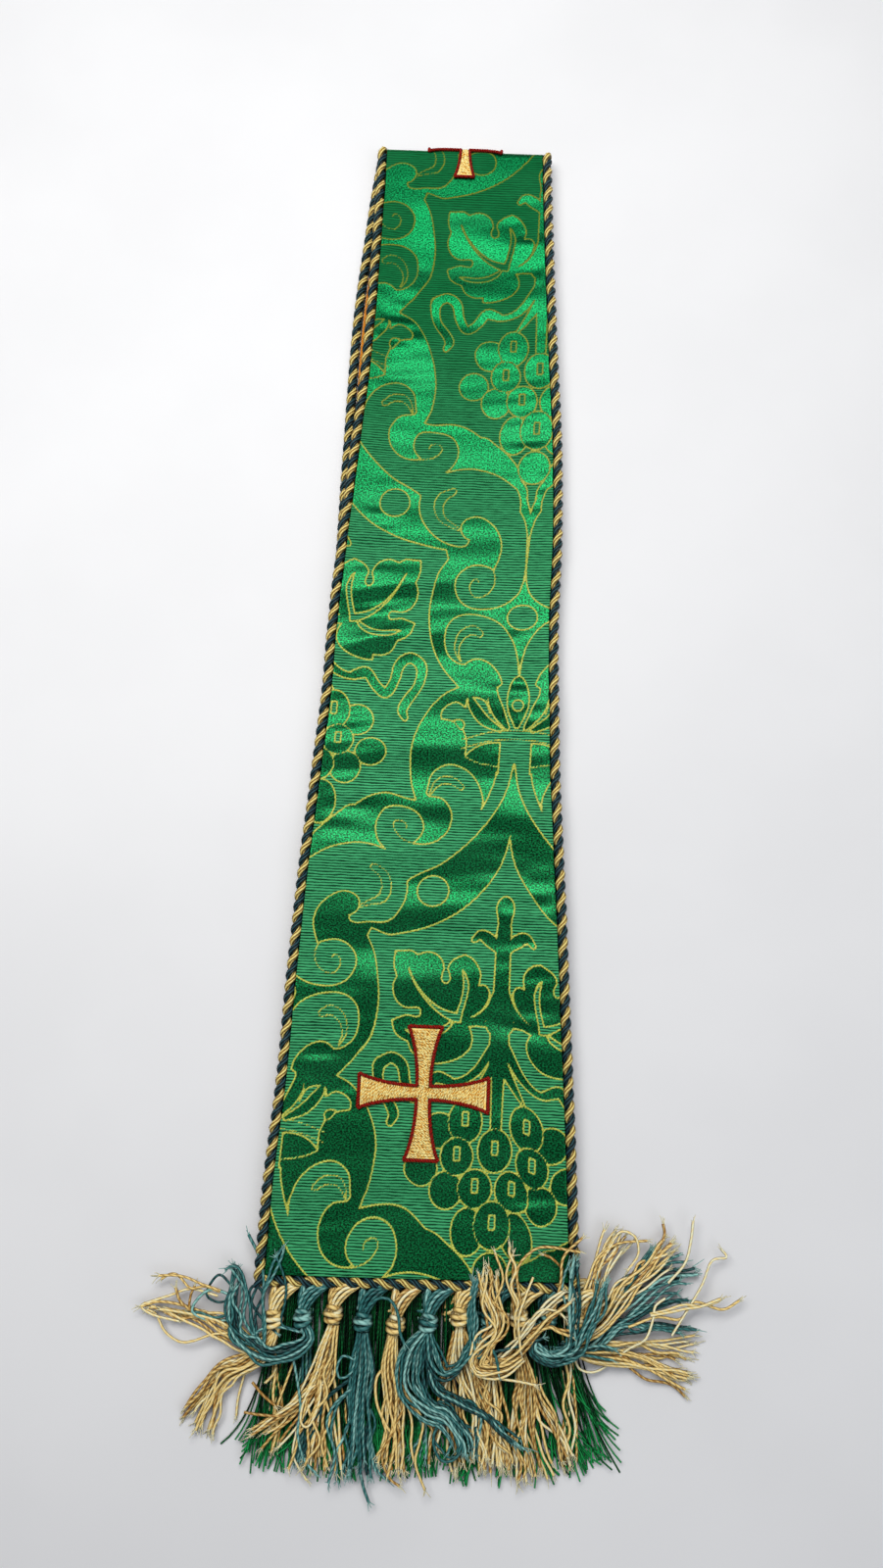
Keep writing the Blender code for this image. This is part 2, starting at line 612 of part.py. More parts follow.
# How a lock comes down over the knots and strands below it: share of its reach and height.
FRINGE_FALL = {"share": (0.14, 0.28, 0.5, 1.0), "z": (3.9, 3.4, 2.35, 2.2)}


def cut_fringe(name, heading_z, columns_used):
    """A narrow woven heading with locks of cut yarn hanging from some of its cells."""
    middle = (FRINGE_LEFT + FRINGE_RIGHT) / 2
    half_length = (FRINGE_RIGHT - FRINGE_LEFT) / 2
    half_depth = STRIP_DEPTH / 2
    heading_y = HEM_Y - HEADING_CLEAR_OF_CORD - half_depth
    backing = Backing((middle, heading_y, heading_z), (0, -1, 0), (1, 0, 0))
    stations = [(along, half_length, HEADING_HALF_HEIGHT) for along in (-half_depth, half_depth)]
    roots, ends = backing.body(stations, FRINGE_CELLS, 1)
    for cell in roots.values():
        backing.close(cell)
    for (column, _), cell in ends.items():
        if column not in columns_used:
            backing.close(cell)
            continue
        x, y, _ = backing.middle(cell)
        sway = SWAY_RIGHT * smooth_step(x, 28, 58) - SWAY_LEFT * smooth_step(-x, 40, 60)
        reach = FRINGE_REACH - CUT_STEP * (column * 7 % 3) - SHORTER_AT_RIGHT * smooth_step(x, 45, 55)
        path = [(x, y - LOCK_ROOT_STEP, heading_z)]
        for share, z in zip(FRINGE_FALL["share"], FRINGE_FALL["z"]):
            path.append((x + sway * share**1.5, y - reach * share, z))
        backing.grow(cell, np.array(path), FRINGE_HALF_WIDTH, FRINGE_HALF_HEIGHT)
    backing.finish(name, GREEN)


cut_fringe("green_fringe_upper", 4.6, range(0, FRINGE_CELLS, 2))
cut_fringe("green_fringe_lower", 3.3, range(1, FRINGE_CELLS, 4))
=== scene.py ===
"""A green brocade stole folded in half at the neck and laid on a pale table, with its knotted fringe."""

import bpy
import numpy as np
from mathutils import Matrix, Vector


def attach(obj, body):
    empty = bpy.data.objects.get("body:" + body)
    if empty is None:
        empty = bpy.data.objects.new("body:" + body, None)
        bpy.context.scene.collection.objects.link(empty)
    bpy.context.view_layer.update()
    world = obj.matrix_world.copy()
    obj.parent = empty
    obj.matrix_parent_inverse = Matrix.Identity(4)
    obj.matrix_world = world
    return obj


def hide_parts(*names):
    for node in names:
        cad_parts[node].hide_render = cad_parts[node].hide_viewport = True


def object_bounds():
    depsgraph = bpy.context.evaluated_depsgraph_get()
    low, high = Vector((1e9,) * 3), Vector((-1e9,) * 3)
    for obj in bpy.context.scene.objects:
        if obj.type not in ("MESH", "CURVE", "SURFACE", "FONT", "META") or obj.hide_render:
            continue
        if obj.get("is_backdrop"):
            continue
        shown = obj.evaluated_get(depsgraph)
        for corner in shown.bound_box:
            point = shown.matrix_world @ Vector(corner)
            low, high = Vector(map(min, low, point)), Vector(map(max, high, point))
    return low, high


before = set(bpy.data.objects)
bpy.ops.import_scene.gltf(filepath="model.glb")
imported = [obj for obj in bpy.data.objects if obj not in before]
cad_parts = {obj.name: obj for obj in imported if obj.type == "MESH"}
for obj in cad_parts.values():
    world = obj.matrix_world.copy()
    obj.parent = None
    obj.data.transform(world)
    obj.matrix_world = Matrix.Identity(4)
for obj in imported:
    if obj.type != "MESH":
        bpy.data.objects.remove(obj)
cad_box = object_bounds()

# ---------------------------------------------------------------- camera, table, light
# The stole lies on a plain pale table and is seen from above, leaning a little towards the neck.
# A broad soft light stands beyond the neck fold, with a faint one behind it; a dimmer one fills the
# other side.
MM = 0.001
CAMERA_PLACE = (4.1, -137.15, 498.7)
CAMERA_RIGHT = (0.99924, 0.03896, 0.0)
CAMERA_TILT = 10.0
LONG_SIDE_IN_FOCAL_LENGTHS = 1600 / 1200
TABLE_METRES = 6.0

right = Vector(CAMERA_RIGHT).normalized()
toward_neck = Vector((-right.y, right.x, 0))
tilt = np.radians(CAMERA_TILT)
looking = toward_neck * np.sin(tilt) - Vector((0, 0, np.cos(tilt)))
camera_up = right.cross(looking)
camera_data = bpy.data.cameras.new("camera")
camera_data.sensor_width = 36
camera_data.lens = camera_data.sensor_width / LONG_SIDE_IN_FOCAL_LENGTHS
camera_data.clip_start = 0.01
camera = bpy.data.objects.new("camera", camera_data)
turned = Matrix((right, camera_up, -looking)).transposed()
camera.matrix_world = Matrix.Translation(Vector(CAMERA_PLACE) * MM) @ turned.to_4x4()
bpy.context.scene.collection.objects.link(camera)
bpy.context.scene.camera = camera
bpy.context.scene.view_settings.view_transform = "Standard"


def soft_light(name, place, size, watts, colour):
    """A broad lamp aimed at the middle of the stole."""
    data = bpy.data.lights.new(name, "AREA")
    data.shape = "RECTANGLE"
    data.size, data.size_y = size
    data.energy = watts
    data.color = colour
    lamp = bpy.data.objects.new(name, data)
    lamp.location = place
    lamp.rotation_euler = (-Vector(place)).to_track_quat("-Z", "Y").to_euler()
    bpy.context.scene.collection.objects.link(lamp)


soft_light("window_light", (-0.18, 0.34, 0.85), (0.9, 0.45), 8.1, (1.0, 0.99, 0.96))
soft_light("far_light", (-0.05, 1.0, 0.9), (1.1, 0.25), 0.7, (0.96, 0.98, 1.0))
soft_light("fill_light", (0.65, -0.5, 1.15), (1.0, 1.0), 3.9, (0.93, 0.96, 1.0))
world = bpy.data.worlds.new("room")
world.use_nodes = True
world.node_tree.nodes["Background"].inputs["Color"].default_value = (0.82, 0.86, 0.92, 1)
world.node_tree.nodes["Background"].inputs["Strength"].default_value = 0.16
bpy.context.scene.world = world


class Value:
    """A shader socket that takes part in plain expressions."""

    def __init__(self, tree, socket):
        self.tree = tree
        self.socket = socket

    def node(self, kind, inputs=(), output=0, **settings):
        """Adds any node: its settings first, then the values or links of its sockets."""
        made = self.tree.nodes.new(kind)
        for key, setting in settings.items():
            setattr(made, key, setting)
        for key, given in dict(inputs).items():
            if isinstance(given, Value):
                self.tree.links.new(given.socket, made.inputs[key])
            else:
                made.inputs[key].default_value = given
        return Value(self.tree, made.outputs[output])

    def math(self, operation, *others):
        return self.node("ShaderNodeMath", enumerate((self, *others)), operation=operation)

    def __add__(self, other):
        return self.math("ADD", other)

    def __sub__(self, other):
        return self.math("SUBTRACT", other)

    def __rsub__(self, other):
        return (self * -1) + other

    def __mul__(self, other):
        return self.math("MULTIPLY", other)

    def __pow__(self, other):
        return self.math("POWER", other)

    def sine(self):
        return self.math("SINE")

    def size(self):
        return self.math("ABSOLUTE")

    def between(self, start, end):
        """0 at start and 1 at end, eased; start may be the larger."""
        return self.node(
            "ShaderNodeMapRange",
            {"Value": self, "From Min": start, "From Max": end, "To Min": 0.0, "To Max": 1.0},
            interpolation_type="SMOOTHSTEP",
        )

    def mix(self, first, second):
        """Colour first where this is 0 and second where it is 1."""
        return self.node(
            "ShaderNodeMix",
            {0: self, 6: first if isinstance(first, Value) else (*first, 1),
             7: second if isinstance(second, Value) else (*second, 1)},
            output=2,
            data_type="RGBA",
        )


def new_material(name, roughness, **constants):
    """A material, its principled shader and a starting Value to build expressions from."""
    material = bpy.data.materials.new(name)
    material.use_nodes = True
    tree = material.node_tree
    shader = tree.nodes["Principled BSDF"]
    for key, given in {"Roughness": roughness, **constants}.items():
        shader.inputs[key].default_value = given
    return material, shader, Value(tree, None)


def join(shader, **links):
    """Links Values to the shader's sockets."""
    for key, given in links.items():
        given.tree.links.new(given.socket, shader.inputs[key.replace("_", " ")])


def bumped(height, strength, distance):
    """Normals from a height in millimetres."""
    return height.node(
        "ShaderNodeBump",
        {"Height": height, "Strength": strength, "Distance": distance * MM},
    )


def place_in_mm(start):
    """The point's place in millimetres, as x, y and z Values."""
    place = start.node("ShaderNodeTexCoord", output=3)
    parts = [start.node("ShaderNodeSeparateXYZ", {0: place}, output=k) for k in range(3)]
    return place, [part * (1 / MM) for part in parts]


table, table_shader, start = new_material("table_paint", 0.55)
spots = start.node("ShaderNodeTexNoise", {"Scale": 60.0, "Detail": 3.0})
paint = spots.between(0.3, 0.7).mix((0.84, 0.84, 0.86), (0.87, 0.87, 0.89))
join(table_shader, Base_Color=paint)
bpy.ops.mesh.primitive_grid_add(x_subdivisions=8, y_subdivisions=8, size=TABLE_METRES)
floor = bpy.context.object
floor.name = "table_top"
floor.data.materials.append(table)
floor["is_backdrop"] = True


# ---------------------------------------------------------------- brocade halves
# Two shaped bands of silk brocade, woven in one repeat: satin scrolls, vine leaves and grapes on
# a ribbed ground, each figure edged by a gold weft. The seam allowances are turned under, and
# the halves are sewn at the neck and folded there, so that one lies face down under the other.
GAP = 0.3
WALL = 2.0
LINING_WALL = 0.9
CORD_RADIUS = 2.25
HEM_Y = -250.0
FOLD_RADIUS = 3.4
FOLD_LIFT = 1.9
BEND_Y = 247.6
RISE_Y = 195.0
RISEN_Y = 243.0
UNDER_RISEN_Y = 226.0
HEM_EASE = 28.0
FOLD_Z = FOLD_LIFT + FOLD_RADIUS
BAND_INSET = 2 * CORD_RADIUS + GAP
BAND_HEM_Y = HEM_Y + BAND_INSET
UPPER_PAST = 3.6
UPPER_SLANT = 0.0125
TUCK_RISE = 0.27
RESTING_TOP = 2 * WALL + LINING_WALL + 2 * GAP
EDGE_TOP = 3 * CORD_RADIUS + GAP + WALL / 2
# Each half ends just short of the middle of the fold.
BAND_END = BEND_Y + FOLD_RADIUS * np.radians(88)
# Outer sides of the edge cords of the two halves.
UPPER_EDGES = {
    "y": (-250, -213, -174, -135, -95, -53, -10, 21, 56, 100, 148, 200, 251),
    "left": (-66.0, -64.6, -61.9, -60.4, -58.4, -55.5, -52.5, -51.5, -49.3, -46.2, -42.9, -41.4, -40.7),
    "right": (63.4, 61.6, 59.3, 56.9, 54.5, 51.6, 49.8, 49.1, 49.7, 49.0, 46.0, 43.0, 40.6),
}
LOWER_EDGES = {
    "y": (-250, -174, -95, -10, 40, 87, 125, 164, 184, 204, 225, 251),
    "left": (-65.0, -61.0, -57.0, -52.0, -50.5, -50.0, -49.4, -48.5, -47.2, -45.5, -43.7, -40.7),
    "right": (62.5, 58.5, 54.0, 49.2, 48.5, 48.0, 45.6, 42.3, 41.7, 41.5, 41.2, 40.6),
}
# Soft waves across the upper half: place, reach across, half width, height and slant.
WAVES = {
    "y": (224, 205, 176, 152, 122, 96, 62, 38, 14, -12, -34, -60, -80, -104, -134, -158, -191, -212, -231),
    "x": (-8, 20, 5, -12, 18, -10, 0, -22, -20, 22, -10, 16, -14, 6, -8, 24, 18, -24, 10),
    "reach": (34, 30, 42, 40, 34, 40, 52, 34, 36, 34, 48, 40, 46, 52, 58, 40, 46, 44, 50),
    "width": (7, 8, 9, 9, 10, 9, 10, 8, 8, 9, 8, 9, 9, 10, 9, 9, 10, 8, 7),
    "rise": (1.2, 1.6, 1.5, 2.4, 1.3, 1.4, 2.6, 2.9, 3, 2.6, 2.2, 2.4, 2.2, 2, 1.8, 1.5, 1.7, 1.2, 0.8),
    "slant": (0.1, -0.15, 0, -0.1, 0.15, 0.1, 0, 0.12, 0.2, -0.2, 0, -0.1, 0.1, 0, 0.08, -0.1, 0.12, 0.1, 0),
}
# Finer creases that ride on the waves; a negative rise is a trough.
CREASES = {
    "y": (214, 190, 166, 140, 108, 84, 50, 26, 4, -22, -48, -70, -92, -120, -146, -176, -200, -222, 12, 30,
          -30, -113, -137, -152, -102, 3, 21, -60, 54),
    "x": (10, -22, 24, 14, -20, 22, -24, 18, 30, -30, 22, -34, 34, -26, 30, -36, 30, 36, -34, -30, 34, 7, -44,
          40, 42, 41, -44, -56, 40),
    "reach": (22, 18, 20, 26, 24, 22, 20, 22, 16, 20, 22, 18, 22, 26, 24, 20, 24, 20, 14, 16, 14, 15, 15, 14,
              12, 10, 12, 12, 12),
    "width": (3, 3.5, 3, 4, 3.5, 4, 3, 3.5, 3, 3, 3.5, 3, 3.5, 4, 4, 3.5, 4, 3, 2.2, 2.4, 2.4, 3.2, 2.8, 2.6,
              2.6, 2.2, 2.4, 2.4, 2.4),
    "rise": (0.3, -0.3, 0.35, -0.4, 0.4, -0.35, 0.4, -0.4, 0.6, 0.5, -0.4, 0.4, 0.4, -0.5, 0.4, -0.4, 0.4,
             0.3, 0.5, -0.5, -0.4, -1.2, -1, -0.9, -0.9, -1, -0.9, -0.8, 0.8),
    "slant": (0.2, -0.1, -0.2, 0.1, -0.15, 0.2, 0.1, -0.2, -0.25, 0.2, 0.1, 0.15, -0.2, 0.1, -0.1, 0.2, 0.1,
              -0.2, 0.3, 0.2, 0.3, -0.1, 0.05, -0.25, -0.2, -0.25, 0.2, -0.1, 0.2),
}


def ease(value, start, end):
    """0 before start, 1 after end, eased between."""
    part = np.clip((value - start) / (end - start), 0.0, 1.0)
    return part * part * (3 - 2 * part)


def along_table(table, column, y):
    """Reads a table's column at y on a smooth curve through its rows."""
    rows = np.asarray(table["y"], float)
    values = np.asarray(table[column], float)
    slopes = np.gradient(values, rows)
    y = np.clip(y, rows[0], rows[-1])
    row = np.clip(np.searchsorted(rows, y, side="right") - 1, 0, len(rows) - 2)
    step = rows[row + 1] - rows[row]
    t = (y - rows[row]) / step
    start = (2 * t**3 - 3 * t**2 + 1) * values[row] + (t**3 - 2 * t**2 + t) * step * slopes[row]
    end = (3 * t**2 - 2 * t**3) * values[row + 1] + (t**3 - t**2) * step * slopes[row + 1]
    return start + end


def inner_edges(table, y, inset=BAND_INSET):
    """Both sides of a half at y, so far in from the outer sides of its cords."""
    return along_table(table, "left", y) + inset, along_table(table, "right", y) - inset


def folds_height(table, x, y):
    """Height of a table's folds; each dies away to its sides and along its crest."""
    height = 0.0
    for at_y, at_x, reach, width, rise, slant in zip(*table.values()):
        across = (x - at_x) / reach
        crest = at_y + slant * (x - at_x)
        height = height + rise * np.exp(-(across**2) - ((y - crest) / width) ** 2)
    return height


def past_under(x):
    """How far the upper hem lies past the under half's, which is a little more at the left."""
    return UPPER_PAST - UPPER_SLANT * x


def upper_top(x, y):
    """Height of the upper half's face over the table."""
    left, right_side = inner_edges(UPPER_EDGES, y)
    across = np.clip((2 * x - left - right_side) / (right_side - left), -1, 1)
    at_hem = 1 - ease(y, BAND_HEM_Y - UPPER_PAST, BAND_HEM_Y - UPPER_PAST + HEM_EASE)
    at_edge = np.maximum(np.abs(across) ** 3, at_hem)
    at_fold = ease(y, RISE_Y, RISEN_Y)
    waves = folds_height(WAVES, x, y) + folds_height(CREASES, x, y) * (1 - np.abs(across) ** 4)
    # Small tucks where the cord draws the edge in.
    drawn_in = ease(np.abs(across), 0.35, 0.9) * (1 - np.abs(across) ** 10)
    tucks = np.sin(y / 1.9 + 2.2 * np.sin(y / 13) + x / 14)
    tucks = tucks + 0.7 * np.sin(y / 1.25 - x / 9 + 1.7 * np.sin(y / 21))
    waves = waves + TUCK_RISE * tucks * (0.25 + drawn_in) * (0.55 + 0.45 * np.sin(y / 17 + x / 20))
    lying = RESTING_TOP + (EDGE_TOP - RESTING_TOP) * at_edge + waves * (1 - at_hem)
    return lying * (1 - at_fold) + (FOLD_Z + FOLD_RADIUS) * at_fold


def lower_bottom(y):
    """Height of the under half's face, flat and then rising into the fold."""
    return FOLD_LIFT * ease(y, RISE_Y, UNDER_RISEN_Y)


def skin_point(x, run, out=0.0):
    """A point on the upper half's face and round the fold, or out from it, in millimetres."""
    x, run, out = np.broadcast_arrays(np.asarray(x, float), run, out)
    turn = np.clip((run - BEND_Y) / FOLD_RADIUS, 0, np.pi)
    under = np.maximum(run - BEND_Y - np.pi * FOLD_RADIUS, 0)
    radius = FOLD_RADIUS + out
    flat = run <= BEND_Y
    y = np.where(flat, run, BEND_Y + radius * np.sin(turn) - under)
    z = np.where(flat, upper_top(x, run) + out, FOLD_Z + radius * np.cos(turn))
    z = np.where(under > 0, lower_bottom(y) - out, z)
    return np.stack((x, y, z), axis=-1)


# The cloth isn't quite square to its repeat: how far the columns past "from" rise and slide, and
# how far those on the other side of the mirror line drop.
COLUMN_LIFT = {
    "y": (-250, -240, -222, -205, -170, -133, -115, -100, -85, -72, -58, -42, -30, 0, 40, 76, 98, 113, 135,
          168, 205, 225, 238, 250),
    "lift": (0.3, 1, 4.6, 6, 5.5, 5.5, 4.5, 3, 1, 0.6, 1.5, 0.8, -1.2, -1, -0.4, 1.4, 2.5, 3.5, 4.8, 5.5, 6,
             4.5, 3, 1.5),
    "from": (9, 15, 24, 36, 46, 46, 46, 46, 46, 46, 44, 40, 36, 34, 34, 36, 40, 44, 46, 46, 46, 46, 46, 46),
    "drop": (3.4, 4.5, 4.9, 4.5, 4.1, 4.1, 3.4, 2.2, 0.8) + (0,) * 8 + (2, 3.4, 4.1, 4.5, 3.4, 2.2, 1.1),
    "slide": (3.2, 3.2, 2.6, 1.6, 0.3) + (0,) * 19,
}


class Weave:
    """One repeat of the brocade, held as distances to the satin's edge and to the gold wefts.

    Places are millimetres from the mirror line and along the stole; distances inside are negative.
    Every figure is drawn with its mirror image and its half-drop neighbours.
    """

    HALF_ACROSS = 91.0
    ALONG = 340.0
    START = -250.0
    STEP = 0.25
    FAR = 4.0

    def __init__(self):
        self.across = int(2 * self.HALF_ACROSS / self.STEP)
        self.along = int(self.ALONG / self.STEP)
        self.satin = np.full((self.along, self.across), self.FAR)
        self.gold = np.full((self.along, self.across), self.FAR)

    def draw(self, centre, reach, distance, kind):
        """kind: satin or ground fills, each with its gold edge where it shows; line and outline
        are gold alone; lined lays satin on satin with an edge of its own."""
        reach += self.FAR
        column, row = (
            np.arange(int((at - reach) / self.STEP) - 1, int((at + reach) / self.STEP) + 2)
            for at in (centre[0], centre[1] - self.START))
        d = distance((column * self.STEP)[None, :], (row * self.STEP + self.START)[:, None])
        d = np.clip(d, -self.FAR, self.FAR)
        for turned_over, dropped in ((1, 0), (-1, 0), (1, 1), (-1, 1)):
            window = np.ix_(
                (row + dropped * self.along // 2) % self.along,
                (turned_over * column + dropped * self.across // 2) % self.across)
            gold = self.gold[window]
            if kind == "ground":
                self.satin[window] = np.maximum(self.satin[window], -d)
            elif kind in ("satin", "lined"):
                self.satin[window] = np.minimum(self.satin[window], d)
            if kind in ("satin", "ground"):
                gold = np.where(d < 0, np.maximum(gold, -d), gold)
            elif kind == "lined":
                gold = np.minimum(np.where(d < 0, self.FAR, gold), np.abs(d))
            else:
                gold = np.minimum(gold, np.maximum(d, 0))
            self.gold[window] = gold

    def oval(self, u, v, across, along, kind, lean=0.0):
        turn = np.radians(lean)

        def distance(at_u, at_v):
            a = (at_u - u) * np.cos(turn) + (at_v - v) * np.sin(turn)
            b = (at_v - v) * np.cos(turn) - (at_u - u) * np.sin(turn)
            far = np.sqrt((a / across) ** 2 + (b / along) ** 2)
            slope = np.sqrt((a / across**2) ** 2 + (b / along**2) ** 2) + 1e-9
            return far * (far - 1) / slope

        self.draw((u, v), max(across, along), distance, kind)

    def shape(self, kind, *sections):
        """A closed form; each section is a smooth edge that ends in a corner."""
        corners = [section[-1] for section in sections[-1:] + sections[:-1]]
        outline = np.concatenate([
            smooth_route(np.array([corner, *section], float), 4)[:-1]
            for corner, section in zip(corners, sections)])

        def distance(at_u, at_v):
            nearest = np.full(np.broadcast(at_u, at_v).shape, 99.0)
            inside = np.zeros(nearest.shape, bool)
            for a, b in zip(outline, np.roll(outline, -1, axis=0)):
                nearest = np.minimum(nearest, off_line(at_u, at_v, a, b)[0])
                if a[1] != b[1]:
                    spans = (a[1] > at_v) != (b[1] > at_v)
                    inside ^= spans & (at_u < (b[0] - a[0]) * (at_v - a[1]) / (b[1] - a[1]) + a[0])
            return np.where(inside, -nearest, nearest)

        middle = (outline.max(0) + outline.min(0)) / 2
        self.draw(middle, float(np.ptp(outline, axis=0).max() / 2), distance, kind)

    def stroke(self, kind, *route):
        """A tapering stroke through (u, v, half width); an outline draws its gold edge alone."""
        route = smooth_route(np.array(route, float))
        middle = (route[:, :2].max(0) + route[:, :2].min(0)) / 2
        reach = float(np.ptp(route[:, :2], axis=0).max() / 2 + route[:, 2].max())

        def distance(at_u, at_v):
            nearest = np.full(np.broadcast(at_u, at_v).shape, 99.0)
            for a, b in zip(route, route[1:]):
                away, t = off_line(at_u, at_v, a, b)
                nearest = np.minimum(nearest, away - a[2] - t * (b[2] - a[2]))
            return np.abs(nearest) if kind == "outline" else nearest

        self.draw(middle, reach, distance, kind)

    def line(self, *route):
        """A gold line through (u, v)."""
        self.stroke("line", *((u, v, 0) for u, v in route))

    def read(self, field, u, v):
        """Reads a field at any place, between its samples; the outer columns sit a little higher."""
        outer = ease(u - along_table(COLUMN_LIFT, "from", v), 0, 12)
        u = u - along_table(COLUMN_LIFT, "slide", v) * outer
        drop = along_table(COLUMN_LIFT, "drop", v) * ease(-u, 4, 20)
        v = v - along_table(COLUMN_LIFT, "lift", v) * outer + drop
        a = np.mod(u / self.STEP, self.across)
        b = np.mod((v - self.START) / self.STEP, self.along)
        a0, b0 = a.astype(int), b.astype(int)
        fa, fb = a - a0, b - b0
        a0, a1 = a0 % self.across, (a0 + 1) % self.across
        b0, b1 = b0 % self.along, (b0 + 1) % self.along
        low = field[b0, a0] * (1 - fa) + field[b0, a1] * fa
        high = field[b1, a0] * (1 - fa) + field[b1, a1] * fa
        return low * (1 - fb) + high * fb


def off_line(at_u, at_v, a, b):
    """Distances of places from the line between a and b, and the share along it of the nearest."""
    run = b[:2] - a[:2]
    t = np.clip(((at_u - a[0]) * run[0] + (at_v - a[1]) * run[1]) / (run @ run + 1e-9), 0, 1)
    return np.hypot(at_u - a[0] - t * run[0], at_v - a[1] - t * run[1]), t


def smooth_route(points, parts=5):
    """Points on a smooth curve through the given ones."""
    if len(points) < 3:
        return points
    ends = np.vstack((2 * points[0] - points[1], points, 2 * points[-1] - points[-2]))
    out = []
    for a, b, c, d in zip(ends, ends[1:], ends[2:], ends[3:]):
        for t in np.arange(parts) / parts:
            square, cube = 2 * a - 5 * b + 4 * c - d, 3 * b - a - 3 * c + d
            out.append(0.5 * (2 * b + (c - a) * t + square * t**2 + cube * t**3))
    out.append(points[-1])
    return np.array(out)


# u is millimetres left of the mirror line and v runs along the stole.
weave = Weave()
# Scrolling bands of satin.
weave.stroke("satin", (0, -41, 0.3), (1, -53, 1.8), (4, -66, 4.8), (11, -81, 8.6), (22, -93, 10.4),
    (34, -100, 11), (46, -106, 8.5), (56, -111, 5), (66, -111, 5))
weave.stroke("satin", (67, -68, 6), (78, -77, 5.4), (83.1, -85, 3.6), (85.8, -90.5, 2.9), (88, -95, 2.3),
    (89.6, -99, 1.7), (90.5, -103, 1.2), (91, -110, 0.5), (91, -122, 0.1))
weave.oval(27, 75, 22.5, 19.5, "ground", -6)
weave.oval(30.7, -96, 6.6, 6.4, "ground")
weave.stroke("outline", (35, 82, 1.5), (39.3, 79, 2), (40.8, 74, 2), (39, 68.6, 1.6), (34, 65, 1),
    (28, 62, 0.3))
# The stem with its hooked head, the scalloped leaf under the lower volute and the long spur.
weave.shape("satin",
    [(37.8, 43.8), (39.6, 36.2), (40.6, 28.8), (40.3, 21.2), (38.8, 12.5), (35.8, 5), (31.9, -1.2),
     (25.8, -8.1)],
    [(31.7, -11.2), (37.8, -17.5), (42, -25), (43.9, -32.5), (44.4, -40), (43.3, -50), (40.6, -58.1)],
    [(37.8, -60.6), (33, -61)],
    [(34.8, -56.2)],
    [(36.4, -54.8), (36.1, -52.2), (34.9, -46.5), (30.8, -42.8), (25.8, -41.9), (19.5, -44.4), (15, -49.4),
     (12.5, -56.2), (12.7, -61)],
    [(10.4, -55.6), (8.1, -48.8), (7.1, -41.9)],
    [(15.9, -40.6), (21.2, -38.1)],
    [(21, -32.5), (21.8, -28.8), (23.8, -25.2), (27.6, -22.8), (32.4, -21.9)],
    [(32.5, -18.8), (30.1, -16), (26, -14.6), (22.2, -16.9)],
    [(21.7, -13.1), (17.9, -12.5), (14.4, -13.8), (12.8, -16.2), (11.9, -19)],
    [(12.9, -13.1), (11.5, -9.4), (7.2, -6)],
    [(7.8, -3.5), (9.5, -0.2), (12.7, 3.2), (17.1, 5.2), (20.8, 4.8), (23.8, 2.5)],
    [(27, 3.1), (30.9, 6.2), (32.8, 10.6), (33, 15.6), (31.8, 20.2), (28.2, 23.8), (22.6, 25.2), (15, 24),
     (8.7, 20.6), (3.5, 13.8), (0.9, 6.2), (-0.2, -1.2)],
    [(-1.1, 6.2), (-3.5, 13.8), (-8.3, 20.6)],
    [(-11.1, 26.9)],
    [(-4.7, 29.8)],
    [(-2.3, 35.6), (-0.6, 41.2), (-0.1, 48.8), (0, 59.4)],
    [(0.1, 48.8), (0.5, 41.2), (2.4, 35.6), (6.6, 31.2), (12.7, 28.4), (20.2, 27.8), (25.5, 29.5),
     (28.8, 32.8), (30.4, 37.5), (29.6, 42.1), (26, 46.2), (21.1, 47.8), (16.1, 46.8), (14.1, 45.4)],
    [(12.5, 50), (11.5, 55), (12.3, 60), (15.1, 65), (19.6, 68.8), (23.5, 70), (27.4, 68.8), (29.8, 66),
     (29.7, 62.2), (27.7, 59.6), (25.9, 58.8)],
    [(27.1, 56.2), (31.5, 55.5), (36.5, 56.5)],
    [(34.3, 50)])
# The lower hook and the arm it throws out.
weave.shape("satin",
    [(29.7, -56.9), (26.3, -60.6), (25, -65), (26.5, -70.6), (30.5, -74.8), (35.4, -76.5), (40.8, -76.4)],
    [(37.6, -73.1), (36.6, -68.8), (38.9, -64), (43.7, -61.2), (49, -60.9), (53.9, -63.1), (56.4, -67.2),
     (56.8, -71.5), (55.3, -76), (51.9, -79.6)],
    [(58.5, -77.8), (66, -77.5), (75.9, -80.2), (84.5, -86.2), (89.3, -91.2)],
    [(88.3, -85), (84, -80), (78.6, -72.5), (70.1, -65), (61.6, -58.8), (54.1, -56.5), (46.6, -56.9),
     (40.6, -58.1)],
    [(34.8, -56)])
weave.shape("satin",
    [(17.5, -34.5), (12.4, -32.2), (6.6, -31.6)],
    [(6.7, -45)],
    [(18.3, -41.9)],
    [(21.4, -38.2)])
weave.line((21.4, -38.2), (15.9, -40.6), (7.1, -42))
weave.stroke("satin", (39.9, -52.5, 2), (37.9, -56.9, 2.4), (35.9, -60.6, 3))
